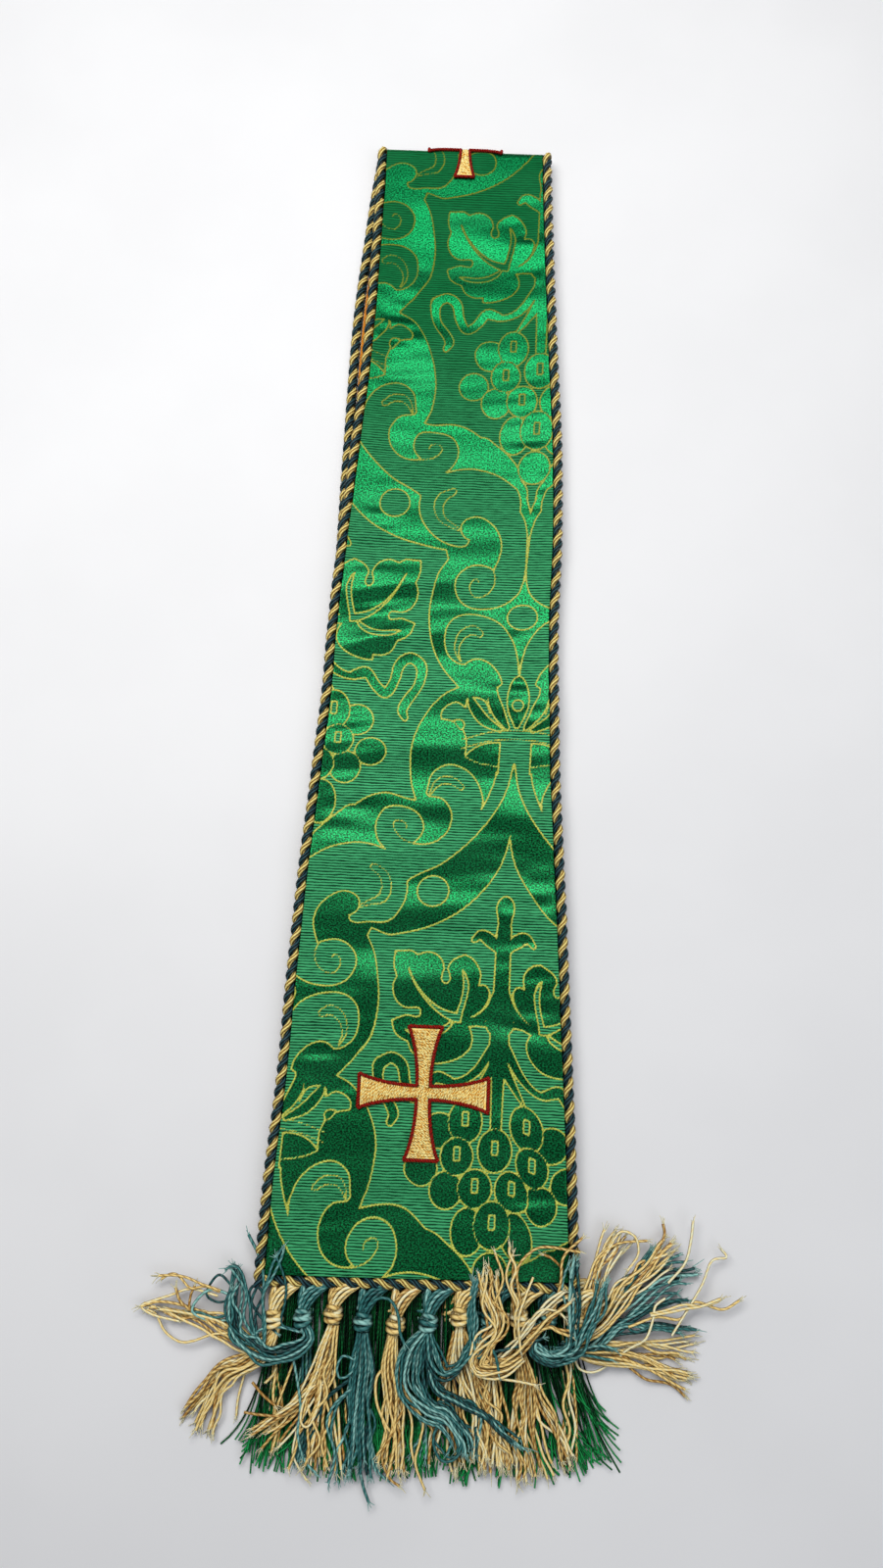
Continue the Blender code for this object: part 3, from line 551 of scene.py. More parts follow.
# Medallion on the node, spirals and commas in the volutes.
weave.oval(0, 24.4, 6.5, 5.6, "ground")
weave.line((14.1, 45.4), (13.1, 41.2), (14.1, 36.9), (17.4, 33.8), (21.1, 33.1), (23.7, 36), (23.7, 39.4),
    (21.4, 41.2), (20, 39.8))
weave.line((40.8, -76.4), (45.1, -74.6), (48.4, -71.2), (49.4, -68.1), (47.3, -66.5), (44.4, -67.8),
    (43.6, -70.2))
weave.stroke("outline", (17.9, 16.5, 1.4), (21.1, 17.9, 1.9), (24.8, 16.2, 1.8), (27.1, 12.5, 1.3),
    (27.4, 8.1, 0.8), (25.6, 4, 0.2))
weave.stroke("outline", (22, -51.5, 1.2), (25.6, -49, 1.6), (30, -48.8, 1.6), (33, -51.2, 1.1),
    (34.8, -55.2, 0.3))
weave.stroke("lined", (26.4, -22.8, 0.6), (24.1, -23.8, 1.6), (23.6, -25.6, 0.8))

# A palmette on a banded foot, between the scalloped leaves.
weave.stroke("satin", (0, -24, 1.2), (0, -15, 4.6), (0, -7, 3.6), (0, -2.4, 0.6))
weave.stroke("satin", (4, -25, 1), (8.4, -18, 2.6), (11, -11, 2.2), (9.8, -6.4, 0.5))
weave.stroke("satin", (7, -26, 1), (14, -22, 2.2), (19, -16, 2), (21, -11.4, 0.5))
weave.oval(0, -15.4, 2.4, 2.4, "ground")
for rise in (-26, -30):
    low, high = rise - 5, rise - 1.2
    weave.line((-23, low), (-11.5, high), (0, rise), (11.5, high), (23, low))

# Stem with its finial and the branch to the tendril.
weave.stroke("satin", (0, -97.6, 0.5), (0, -101.4, 3.6), (0, -106, 3), (0, -111, 2.4))
weave.stroke("satin", (0, -111, 3), (0, -125, 3.1), (0, -140, 3.3), (0, -152, 3.8), (0, -164, 4),
    (0, -172, 2.6), (0, -191, 2.2))
weave.stroke("satin", (2, -119, 1.8), (5.6, -115.6, 2.6), (9.4, -113.4, 1.9), (12.2, -115.4, 1.2))
weave.stroke("satin", (1, -136, 2), (4, -144, 2.4), (10, -148.6, 2), (16, -149, 1.6))
weave.stroke("satin", (2, -158, 2), (9, -169, 1.8), (17, -173.4, 1.4), (26, -172, 1.8))
weave.stroke("satin", (20, -173, 2), (25, -171.5, 2), (29.5, -177, 2), (34, -180, 2), (37.4, -174.5, 2),
    (39.2, -167.5, 2.2), (44, -164.6, 2.2), (48.6, -168.6, 2.2), (48, -176, 2), (43.6, -182.6, 2),
    (41.6, -187, 2), (43, -190.6, 1.2))

# Vine leaf: lobes with small corners, two keyhole notches and three ribbed veins.
weave.shape("satin",
    [(41.2, -121.1), (38.1, -120.9), (35.3, -122.5)],
    [(31.2, -121.2), (27.4, -122.2), (24.9, -124.8), (24, -128.2)],
    [(24.8, -130.2), (24.8, -132.5), (23.1, -133.9), (21.5, -132.5), (21.6, -130.2), (22.5, -128.2)],
    [(22, -126), (19.7, -123.6), (15.7, -121.8)],
    [(12.4, -123.5), (9.9, -126.8), (8.8, -130.2), (9.5, -134.2)],
    [(7, -134), (5.3, -135.8), (4.9, -138.5), (6.4, -142.5), (9.3, -145.6), (14.2, -148.5)],
    [(12.2, -151.9), (11.1, -155.6), (11.8, -159.4), (14.8, -162.8), (19.2, -165), (24.2, -166.2),
     (27.3, -166.2)],
    [(27.4, -164)],
    [(31.7, -164), (35.5, -161.9), (37.5, -157.8)],
    [(40.9, -156.2), (43.2, -153.8), (44.5, -149.5)],
    [(41.4, -148.2), (38.3, -147.2), (33.9, -147.8), (32.8, -145.9), (33.9, -144.1), (38.9, -144.2),
     (42.4, -142.2), (44.3, -138.8), (44.7, -135), (43.4, -131.5)],
    [(44.9, -126.9), (44.7, -121.2)])
weave.shape("ground",
    [(38.1, -130), (34.7, -136.2), (29, -142.9), (23.3, -147.2), (18.9, -149.1), (16.2, -149.5)],
    [(15.8, -146.2), (14.3, -140), (13.6, -134.4), (15.1, -129.8), (16.5, -128)],
    [(15.7, -133.8), (16.2, -139.4), (18, -145.9)],
    [(24.6, -144), (30.9, -139.5), (35.7, -133.8), (38.9, -127.5)])
weave.shape("ground",
    [(18.9, -149.1), (20.7, -151.9), (25, -154.8), (30.6, -155.8), (35.6, -155), (38.8, -153.1)],
    [(35.7, -153.1), (30.7, -153.5), (25.7, -152.5), (21.3, -150), (18.3, -147.5)],
    [(16.2, -148.5)])
# The stalk that holds the leaf.
weave.stroke("satin", (-0.8, -149.5, 5), (1.7, -149.5, 1.9), (4.5, -149.5, 1.4), (8.9, -149.8, 0.9),
    (13.7, -148.9, 0.3))

# Grapes, the hidden ones first, each front one with a small ladder of light.
for u, v, half_across, half_along in (
    (22.6, -192.5, 7, 7), (29.4, -207.6, 6.6, 6.8), (19, -215.6, 6.6, 7.4), (9.8, -231, 6.5, 9),
    (0, -246, 7, 7.6),
):
    weave.oval(u, v, half_across, half_along, "lined")
for u, v, half_across, half_along in (
    (12.4, -188.6, 6.8, 8.6), (15.2, -202.4, 6.6, 7.4), (7.4, -214.6, 6.8, 7.6), (0, -228.3, 7.2, 9.2),
    (0, -199.6, 6.9, 8.6),
):
    weave.oval(u, v, half_across, half_along, "lined")
    left, right_side, top, foot = u - 1.2, u + 1.2, v + 3.8, v - 1.6
    weave.shape("ground", [(left, top)], [(right_side, top)], [(right_side, foot)], [(left, foot)])
# Bracts over the grapes.
weave.stroke("satin", (2, -166, 2), (4.6, -171, 1.8), (8.4, -176.6, 1.2), (12, -181, 0.3))


def grid_faces(rows, columns, first=0):
    """Four-cornered faces of a grid of points laid out row by row."""
    a = first + np.arange((rows - 1) * columns).reshape(rows - 1, columns)[:, :-1].ravel()
    return np.column_stack((a, a + 1, a + columns + 1, a + columns))


def make_piece(name, points, faces, material, slot, corner_uv=None, **values):
    """A mesh from points in millimetres, with a float attribute for each named array."""
    mesh = bpy.data.meshes.new(name)
    points = np.asarray(points, float)
    faces = np.asarray(faces, int)
    mesh.vertices.add(len(points))
    mesh.vertices.foreach_set("co", (points * MM).ravel())
    mesh.loops.add(faces.size)
    mesh.loops.foreach_set("vertex_index", faces.ravel())
    mesh.polygons.add(len(faces))
    mesh.polygons.foreach_set("loop_start", np.arange(0, faces.size, faces.shape[1]))
    mesh.polygons.foreach_set("loop_total", np.full(len(faces), faces.shape[1]))
    mesh.polygons.foreach_set("use_smooth", np.ones(len(faces), bool))
    mesh.update(calc_edges=True)
    if corner_uv is not None:
        mesh.uv_layers.new(name="yarn").data.foreach_set("uv", np.asarray(corner_uv, float).ravel())
    for key, given in values.items():
        data = mesh.attributes.new(key, "FLOAT", "POINT").data
        data.foreach_set("value", np.asarray(given, float).ravel())
    mesh.materials.append(material)
    piece = bpy.data.objects.new(name, mesh)
    bpy.context.scene.collection.objects.link(piece)
    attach(piece, "root")
    return piece


def attribute(start, name):
    return start.node("ShaderNodeAttribute", output=2, attribute_name=name)


def noise(start, place, scale, detail=2.0):
    return start.node("ShaderNodeTexNoise", {"Vector": place, "Scale": scale, "Detail": detail})


def cloth_place(start, *parts):
    return start.node("ShaderNodeCombineXYZ", enumerate(parts))


RIB_PITCH = 1.17
TWILL_PITCH = 1.1
GOLD_BEAD_PITCH = 1.3

brocade, brocade_shader, start = new_material(
    "silk_brocade", 0.5, **{"Specular IOR Level": 0.06, "Coat Roughness": 0.32})
across = attribute(start, "across")
along = attribute(start, "along")
satin = attribute(start, "satin")
gold = attribute(start, "gold")
weave_place = cloth_place(start, across * 0.16, along * 0.5)
wander = noise(start, weave_place, 1.0, 3)
ribs = ((along + wander * 0.9) * (2 * np.pi / RIB_PITCH)).sine() * 0.5 + 0.5
dashes = noise(start, cloth_place(start, across * 0.22, along * 1.5), 1.0, 2)
ribs = (ribs * 0.75 + dashes * 1.0).between(0.50, 1.15)
grain = noise(start, cloth_place(start, across * 1.3, along * 1.7), 1.0, 3)
twill = ((across * 1.1 + along * 1.9) * (2 * np.pi / TWILL_PITCH)).sine() * 0.5 + 0.5
painted_light_patches = noise(start, cloth_place(start, across * 0.03, along * 0.05), 1.0, 2)
is_satin = satin.between(0.25, -0.1)
beads = ((across - along * 0.6) * (2 * np.pi / GOLD_BEAD_PITCH)).sine() * 0.09 + (grain - 0.5) * 0.3
is_gold = (satin.size().math("MINIMUM", gold) + beads).between(0.43, 0.22)
# Painted sheen along the stole: towards the hem the light ribs and the gold lines are painted lighter and the
# satin's grain more contrasting than at the neck, standing in for how the light falls along the cloth; the
# satin's coat is also glossier towards the hem.
sheen_toward_hem = along.between(200, -10)
ground_colour = sheen_toward_hem.mix(
    ribs.mix((0.0003, 0.062, 0.015), (0.002, 0.155, 0.043)),
    ribs.mix((0.0003, 0.030, 0.009), (0.062, 0.43, 0.175)),
)
satin_colour = sheen_toward_hem.mix(
    grain.between(0.38, 0.62).mix((0.0003, 0.040, 0.011), (0.003, 0.22, 0.064)),
    grain.between(0.38, 0.66).mix((0.0001, 0.014, 0.003), (0.003, 0.26, 0.072)),
)
gold_colour = sheen_toward_hem.mix(
    grain.between(0.3, 0.7).mix((0.08, 0.14, 0.008), (0.25, 0.29, 0.03)),
    grain.between(0.3, 0.7).mix((0.26, 0.31, 0.02), (0.80, 0.80, 0.16)),
)
colour = is_gold.mix(is_satin.mix(ground_colour, satin_colour), gold_colour)
# Painted light: broad soft patches of the cloth are painted a little lighter and greener, as though more
# light fell on them.
lit = painted_light_patches.between(0.35, 0.7)
colour = (lit * 0.10).mix(colour, (0.03, 0.26, 0.10))
relief = is_gold * 0.8 + is_satin * (grain * 0.22 + twill * 0.08) + (1 - is_satin) * ribs * 0.5
join(
    brocade_shader,
    Base_Color=colour,
    Metallic=(is_satin * 0.65 + 0.15) * (1 - is_gold),
    Coat_Weight=is_satin * (sheen_toward_hem * 0.12 + 0.01),
    Roughness=0.58 - is_satin * 0.25,
    Normal=bumped(relief, 0.5, 0.28),
)

# The mirror line of the repeat leans across the bands.
MIRROR_LINE = {
    "y": (-250, -227, -187, -98, -79, -16, 23, 50, 70, 110, 200, 262),
    "x": (27.3, 27.6, 28.1, 29.6, 30.2, 32.1, 33.0, 34.2, 35.2, 37.0, 38.5, 39.0),
}
TURNED_IN = ((0.35, 0.0), (0.3, -0.7), (-0.1, -1.5), (-1.6, -2.0), (-6.0, -2.0))
UPPER_COLUMNS = 146
UPPER_ROWS = 604


def with_hem(points, limit, level, down_is):
    """Adds the rows turned in at the hem; each keeps within the level that it is turned to."""
    rows = []
    for out, down in TURNED_IN[::-1]:
        row = points[0].copy()
        row[:, 1] -= out
        row[:, 2] = limit(row[:, 2], level + down_is * down)
        rows.append(row)
    return np.concatenate((np.stack(rows), points))


def brocade_half(name, points, faces, across, along):
    """One half of the band, its pattern read from the weave at each point."""
    left_of_line = along_table(MIRROR_LINE, "x", along) - across
    satin, gold = (weave.read(field, left_of_line, along) for field in (weave.satin, weave.gold))
    return make_piece(
        name, points.reshape(-1, 3), faces, brocade, "brocade",
        across=across, along=along, satin=satin, gold=gold)


runs = np.linspace(BAND_HEM_Y, BAND_END, UPPER_ROWS)
left, right_side = inner_edges(UPPER_EDGES, np.minimum(runs, BEND_Y))
shares = np.linspace(0, 1, UPPER_COLUMNS)
x = left[:, None] + (right_side - left)[:, None] * shares
longer = 1 - ease(runs, BAND_HEM_Y, BAND_HEM_Y + 40)
face_runs = runs[:, None] - past_under(x) * longer[:, None]
face_points = skin_point(x, face_runs)
turned_left = [skin_point(left - out, face_runs[:, 0], down) for out, down in TURNED_IN[::-1]]
turned_right = [skin_point(right_side + out, face_runs[:, -1], down) for out, down in TURNED_IN]
points = np.concatenate((np.stack(turned_left, 1), face_points, np.stack(turned_right, 1)), axis=1)
points = with_hem(points, np.minimum, points[0, UPPER_COLUMNS // 2, 2], 1)
flat_across = np.broadcast_to(points[..., 0], points.shape[:2])
turned = len(TURNED_IN)
flat_along = np.concatenate((points[:turned, turned:-turned, 1], face_runs))
flat_along = np.pad(flat_along, ((0, 0), (turned, turned)), "edge")
upper_brocade = brocade_half("upper_brocade", points, grid_faces(*points.shape[:2]), flat_across, flat_along)
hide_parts("upper_band")


# ---------------------------------------------------------------- under half and lining
# The under half is cut and woven as the upper one and lies face down, flat on the table. The
# orange lining is felled to the insides of both halves and shows where they part at one edge.
UNDER_COLUMNS = 74
UNDER_ROWS = 300

under_runs = np.linspace(BAND_HEM_Y, BAND_END, UNDER_ROWS)
left, right_side = inner_edges(LOWER_EDGES, np.minimum(under_runs, BEND_Y))
turn = np.maximum(under_runs - BEND_Y, 0) / FOLD_RADIUS


def under_point(x, in_by):
    """A point of the under half's face, or in from it, towards the lining."""
    radius = (FOLD_RADIUS - in_by) * np.ones(UNDER_ROWS)
    y = np.where(turn > 0, BEND_Y + radius * np.sin(turn), under_runs)
    z = np.where(turn > 0, FOLD_Z - radius * np.cos(turn), lower_bottom(under_runs) + in_by)
    return np.column_stack((x, y, z))


columns = [under_point(left - out, -down) for out, down in TURNED_IN[::-1]]
for share in np.linspace(0, 1, UNDER_COLUMNS):
    columns.append(under_point(left + (right_side - left) * share, 0.0))
columns += [under_point(right_side + out, -down) for out, down in TURNED_IN]
points = with_hem(np.stack(columns, 1), np.maximum, 0, -1)
flat_across = points[..., 0]
flat_along = np.concatenate((BAND_HEM_Y - np.array([out for out, _ in TURNED_IN[::-1]]), under_runs))
flat_along = np.broadcast_to(flat_along[:, None], flat_across.shape)
faces = grid_faces(*points.shape[:2])[:, ::-1]
lower_brocade = brocade_half("lower_brocade", points, faces, flat_across, flat_along)
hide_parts("lower_band")

lining_cloth, lining_shader, start = new_material("lining_satin", 0.55, **{"Specular IOR Level": 0.15})
place, (_, y_mm, _) = place_in_mm(start)
threads = (y_mm * (2 * np.pi / 0.7)).sine() * 0.5 + 0.5
cloudy = noise(start, place, 90.0, 3)
sheen = (threads * 0.35 + cloudy * 0.6).between(0.2, 0.8)
join(
    lining_shader,
    Base_Color=sheen.mix((0.50, 0.145, 0.005), (0.88, 0.33, 0.012)),
    Normal=bumped(threads + cloudy, 0.4, 0.12),
)

LINING_COLUMNS = 24
LINING_ROWS = 130
lining_y = np.linspace(BAND_HEM_Y + 1, RISEN_Y + 3, LINING_ROWS)
left, right_side = inner_edges(LOWER_EDGES, lining_y)
over, under = [], []
for share in np.linspace(0, 1, LINING_COLUMNS):
    x = left + (right_side - left) * share
    puckers = 0.16 * np.sin(lining_y / 3.1 + 9 * share) * np.cos(lining_y / 11 + 14 * share)
    z = lower_bottom(lining_y) + WALL + GAP
    over.append(np.column_stack((x, lining_y, z + LINING_WALL - 0.2 + puckers)))
    under.append(np.column_stack((x, lining_y, z)))
ring = np.stack((*over, *under[::-1], over[0]), 1)
lining = make_piece("orange_lining", ring.reshape(-1, 3), grid_faces(*ring.shape[:2]), lining_cloth, "lining")
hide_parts("lining")

# ---------------------------------------------------------------- edge cords
# Two-strand cord, one strand old gold and one dark blue-green, each plied from fine rayon yarns.
# One length runs up each side, round the neck fold and back; a short one closes each hem.
CORD_TURN = 9.4
STRAND_OUT = 1.12
STRAND_RADIUS = 1.2
STRAND_SIDES = 10


def unit(vectors):
    return vectors / np.linalg.norm(vectors, axis=-1, keepdims=True)


def run_along(path):
    """Distance along a path at each of its points; paths may be stacked."""
    steps = np.linalg.norm(np.diff(path, axis=-2), axis=-1)
    return np.concatenate((np.zeros((*steps.shape[:-1], 1)), np.cumsum(steps, axis=-1)), axis=-1)


def frames_along(path):
    """Tangent and two crossways directions at each point, without twist; paths may be stacked."""
    tangent = unit(np.gradient(path, axis=-2))
    side = np.cross((0, 0, 1.0), tangent[..., 0, :])
    side /= np.linalg.norm(side, axis=-1, keepdims=True) + 1e-9
    sides = []
    for k in range(path.shape[-2]):
        t = tangent[..., k, :]
        side = side - t * (side * t).sum(-1, keepdims=True)
        side = side / (np.linalg.norm(side, axis=-1, keepdims=True) + 1e-9)
        sides.append(side)
    side = np.stack(sides, -2)
    return tangent, side, np.cross(tangent, side)


def even_route(points, step):
    """Points a step apart along a smooth curve through the given ones."""
    curve = smooth_route(np.asarray(points, float), 8)
    run = run_along(curve)
    at = np.linspace(0, run[-1], max(int(run[-1] / step), 3))
    return np.column_stack([np.interp(at, run, curve[:, k]) for k in range(3)])


def tubes(paths, radius, sides):
    """Points, faces and yarn UVs (share around, millimetres along) of stacked tubes of one length."""
    paths = np.asarray(paths, float)
    count, rings = paths.shape[:2]
    _, side, up = frames_along(paths)
    angle = np.arange(sides) * 2 * np.pi / sides
    radius = np.broadcast_to(radius, (count, rings))[..., None, None]
    ring = side[:, :, None] * np.cos(angle)[:, None] + up[:, :, None] * np.sin(angle)[:, None]
    points = paths[:, :, None] + ring * radius
    run = run_along(paths)
    tube, k, j = np.meshgrid(np.arange(count), np.arange(rings - 1), np.arange(sides), indexing="ij")
    first = (tube * rings + k) * sides
    after = (j + 1) % sides
    faces = np.stack((first + j, first + after, first + sides + after, first + sides + j), -1).reshape(-1, 4)
    around = np.stack((j, j + 1, j + 1, j), -1) / sides
    along = np.stack((run[tube, k],) * 2 + (run[tube, k + 1],) * 2, -1)
    uv = np.stack((around, along), -1)
    return points.reshape(-1, 3), faces, uv.reshape(-1, 2)


def twisted_cord(name, path, turn, out, radius, sides, material, slot):
    """Two strands wound round a path, the second dyed as the second colour."""
    path = even_route(path, turn / 12)
    _, side, up = frames_along(path)
    run = run_along(path)
    strands = []
    for half in (0, np.pi):
        angle = (run / turn * 2 * np.pi + half)[:, None]
        strands.append(path + out * (side * np.cos(angle) + up * np.sin(angle)))
    points, faces, uv = tubes(strands, radius, sides)
    dyed = np.repeat((0.0, 1.0), len(path) * sides)
    return make_piece(name, points, faces, material, slot, corner_uv=uv, dyed=dyed)


class Yarn:
    """A plied yarn's material: grooves between the plies, fine fibres, and painted shade on the flanks."""

    def __init__(self, name, roughness, gloss, plies, turn, fibre_scale):
        self.material, self.shader, start = new_material(name, roughness, **{"Specular IOR Level": gloss})
        self.start = start
        place = start.node("ShaderNodeUVMap", uv_map="yarn")
        around, along = (start.node("ShaderNodeSeparateXYZ", {0: place}, output=k) for k in (0, 1))
        # The crown is 0 in a groove and 1 on a ply's top; colours built from it paint shade in the grooves
        # and highlights on the crowns.
        self.crown = (((around * plies - along * (1 / turn)) * (2 * np.pi)).sine() * 0.5 + 0.5) ** 0.6
        self.fibres = noise(start, place_in_mm(start)[0], fibre_scale, 2)

    def colour(self, colour, flank, unshaded, relief, strength, depth):
        """Joins the colour, with painted shade on the flanks, and the relief to the shader; unshaded is the
        share of the colour kept where a flank faces sideways.
        """
        # Painted shade: where the surface turns away from facing up, the colour is mixed towards the flank
        # colour, standing in for the shade between neighbouring yarns.
        normal = self.start.node("ShaderNodeNewGeometry", output=1)
        facing_up = self.start.node("ShaderNodeSeparateXYZ", {0: normal}, output=2).between(0.15, 0.9)
        if flank:
            colour = (facing_up * (1 - unshaded) + unshaded).mix(flank, colour)
        join(self.shader, Base_Color=colour, Normal=bumped(relief, strength, depth))
        return self.material


cord = Yarn("cord_yarn", 0.45, 0.3, plies=5, turn=4.2, fibre_scale=1500.0)
# Painted shade and highlights: each strand is painted dark in the grooves between its plies and light on
# their crowns, varied at random by the fibres; its flanks get painted shade.
crowns = cord.crown * 0.75 + cord.fibres * 0.6
gold_strand = crowns.between(0.35, 1.05).mix((0.30, 0.13, 0.012), (1.0, 0.82, 0.27))
navy_strand = crowns.between(0.45, 1.1).mix((0.0006, 0.003, 0.006), (0.022, 0.085, 0.105))
cord_yarn = cord.colour(
    attribute(cord.start, "dyed").mix(gold_strand, navy_strand), (0.002, 0.003, 0.002), 0.3,
    cord.crown + cord.fibres * 0.3, 1.0, 0.5)


def side_cord_route(side):
    """From the under half's hem, along its edge, round the fold and back to the upper hem."""
    inward = CORD_RADIUS if side == "left" else -CORD_RADIUS
    turn_radius = CORD_RADIUS + 0.25
    route = []
    for y in np.concatenate((np.linspace(HEM_Y, 150, 14), np.linspace(166, RISEN_Y, 8))):
        rise = (FOLD_Z - turn_radius - CORD_RADIUS) * ease(y, RISE_Y, RISEN_Y)
        route.append((along_table(LOWER_EDGES, side, y) + inward, y, STRAND_OUT + STRAND_RADIUS + rise))
    at_fold = along_table(UPPER_EDGES, side, BEND_Y) + inward
    for turn in np.radians(np.arange(-75, 76, 30)):
        route.append((at_fold, BEND_Y + turn_radius * np.cos(turn), FOLD_Z + turn_radius * np.sin(turn)))
    hem_end = HEM_Y - past_under(along_table(UPPER_EDGES, side, HEM_Y))
    for y in np.linspace(RISEN_Y, hem_end, 50):
        edge = along_table(UPPER_EDGES, side, y)
        at_bend = ease(y, UNDER_RISEN_Y, RISEN_Y)
        z = upper_top(edge + np.sign(inward) * BAND_INSET, y) - WALL / 2
        route.append((edge + inward, y, z * (1 - at_bend) + (FOLD_Z + turn_radius) * at_bend))
    return route


for side in ("left", "right"):
    cord = twisted_cord(
        f"{side}_edge_cord", side_cord_route(side), CORD_TURN, STRAND_OUT, STRAND_RADIUS, STRAND_SIDES,
        cord_yarn, "edge_cord")
    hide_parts("cord_" + side)
for half, edges, z in (
    ("upper", UPPER_EDGES, EDGE_TOP - WALL / 2),
    ("lower", LOWER_EDGES, STRAND_OUT + STRAND_RADIUS),
):
    left, right_side = inner_edges(edges, HEM_Y, 2 * CORD_RADIUS)
    past = past_under if half == "upper" else np.zeros_like
    route = [(x, HEM_Y + CORD_RADIUS - past(x), z) for x in np.linspace(left, right_side, 12)]
    cord = twisted_cord(
        f"{half}_hem_cord", route, CORD_TURN - 0.4, STRAND_OUT, STRAND_RADIUS, STRAND_SIDES,
        cord_yarn, "edge_cord")
    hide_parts("hem_cord_" + half)


# ---------------------------------------------------------------- applied crosses
# Machine-worked crosses: a nubby gold loop yarn crosses each arm back and forth until it is full,
# and a twisted dark-red cord is sewn round. One lies near the hem, one is folded over at the neck.
ARM_FLARE = 2.2
LOOP_RADIUS = 0.5
LOOP_PITCH = 1.25
LOOP_SIDES = 6
RED_CORD_TURN = 2.3


def cross_arm(span, tip, waist, stations):
    """Distances from the centre and half widths along one arm, narrow first, flared at the tip."""
    share = np.linspace(0, 1, stations)
    return waist + (span / 2 - waist) * share, waist + (tip / 2 - waist) * share**ARM_FLARE


def quarter_turn(quarter, points):
    """Points turned about the cross's centre by so many right angles."""
    c, s = ((1, 0), (0, 1), (-1, 0), (0, -1))[quarter]
    a, b = np.asarray(points, float).T
    return np.column_stack((c * a - s * b, s * a + c * b))


def joined(parts):
    """Points, faces and corner UVs of several meshes as those of one."""
    points, faces, uv = zip(*parts)
    first = np.cumsum([0, *map(len, points)])
    faces = [part + at for part, at in zip(faces, first)]
    return np.concatenate(points), np.concatenate(faces), np.concatenate(uv)


loops = Yarn("cross_gold", 0.5, 0.2, plies=2, turn=1.7, fibre_scale=620.0)
# Painted shade in the grooves of the loop yarn and painted highlights on its crowns, varied at random by the
# fibres; the flanks get painted shade too.
tone = (loops.crown * 0.5 + loops.fibres * 1.0).between(0.40, 1.0)
colour = tone.between(0.0, 0.55).mix((0.55, 0.18, 0.010), (1.0, 0.62, 0.115))
colour = tone.between(0.55, 1.0).mix(colour, (1.0, 0.86, 0.36))
cross_gold = loops.colour(colour, (0.28, 0.07, 0.004), 0.4, loops.crown + loops.fibres * 0.6, 0.9, 0.25)

red = Yarn("cross_outline", 0.6, 0.15, plies=3, turn=1.9, fibre_scale=1400.0)
# Painted shade in the grooves of the red cord and a painted highlight on its crowns.
tone = (red.crown * 0.7 + red.fibres * 0.5).between(0.2, 1.0)
cross_red = red.colour(tone.mix((0.06, 0.001, 0.0005), (0.38, 0.010, 0.004)), None, 0, red.crown, 0.8, 0.2)

for name, centre_x, centre_run, size, cord_radius, thickness in (
    ("end_cross", -1.7, -178.0, (54.0, 14.7, 6.8), 0.65, 1.3),
    ("neck_cross", 0.2, BEND_Y + FOLD_RADIUS * np.pi / 2, (35.0, 10.0, 5.4), 0.6, 1.1),
):
    span, tip, waist = size
    draw = np.random.default_rng(11)
    inset = 2 * cord_radius + 0.15
    far, waist_half = span / 2 - inset - LOOP_RADIUS, waist / 2 - inset
    rows = []
    for quarter in range(4):
        # The first two arms carry the middle square as well, so no place is left empty.
        begin = 0.4 if quarter % 2 == 0 else waist_half + 0.5
        at = np.arange(begin, far, LOOP_PITCH / 2)
        share = np.clip((at - waist_half) / (far - waist_half), 0, 1)
        half = waist_half + (tip / 2 - inset - LOOP_RADIUS - waist_half) * share**ARM_FLARE
        swing = np.where(np.arange(len(at)) % 2, 1, -1) * half
        corners = np.column_stack((at + draw.normal(0, 0.06, len(at)), swing + draw.normal(0, 0.12, len(at))))
        route = []
        for start_at, end_at in zip(corners[:-1], corners[1:]):
            parts = max(int(np.linalg.norm(end_at - start_at) / 0.5), 2)
            route.append(start_at + (end_at - start_at) * np.linspace(0, 1, parts, endpoint=False)[:, None])
        rows.append(quarter_turn(quarter, np.concatenate(route)))
    parts = []
    for route in rows:
        wave = np.sin(np.arange(len(route)) * 2.1) * 0.28 + draw.normal(0, 0.08, len(route))
        route = route + draw.normal(0, 0.07, route.shape)
        lift = GAP + thickness - LOOP_RADIUS - 0.25 + wave
        path = skin_point(centre_x + route[:, 0], centre_run + route[:, 1], lift)
        parts.append(tubes([path], LOOP_RADIUS, LOOP_SIDES))
    # A padded ground under the loops, so the green does not show between them.
    for quarter in range(4):
        at, half = cross_arm(span - 2 * inset, tip - 2 * inset, waist_half, 14)
        at = np.concatenate(([-waist_half], at))
        half = np.concatenate(([waist_half], half))
        across = np.linspace(-1, 1, 7)
        flat = np.stack((np.repeat(at[:, None], 7, 1), half[:, None] * across), -1).reshape(-1, 2)
        flat = quarter_turn(quarter, flat)
        ground = skin_point(centre_x + flat[:, 0], centre_run + flat[:, 1], GAP + 0.55 + 0.01 * quarter)
        ground_faces = grid_faces(len(at), 7)
        parts.append((ground, ground_faces, np.zeros((len(ground_faces) * 4, 2))))
    points, faces, uv = joined(parts)
    fill = make_piece(f"{name}_loop_fill", points, faces, cross_gold, "cross_gold", corner_uv=uv)
    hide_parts(name)
    at, half = cross_arm(span - 2 * cord_radius, tip - 2 * cord_radius, waist / 2 - cord_radius, 14)
    tip_points = [(at[-1], side * half[-1]) for side in (-0.5, 0, 0.5)]
    arm = list(zip(at, -half)) + tip_points + list(zip(at[::-1], half[::-1]))
    outline = np.concatenate([quarter_turn(quarter, arm) for quarter in range(4)])
    outline = np.concatenate((outline, outline[:3]))
    path = skin_point(centre_x + outline[:, 0], centre_run + outline[:, 1], GAP + cord_radius)
    edge = twisted_cord(
        f"{name}_red_cord", path, RED_CORD_TURN, cord_radius * 0.46, cord_radius * 0.72, 8,
        cross_red, "cross_outline")
    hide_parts(f"{name}_cord")


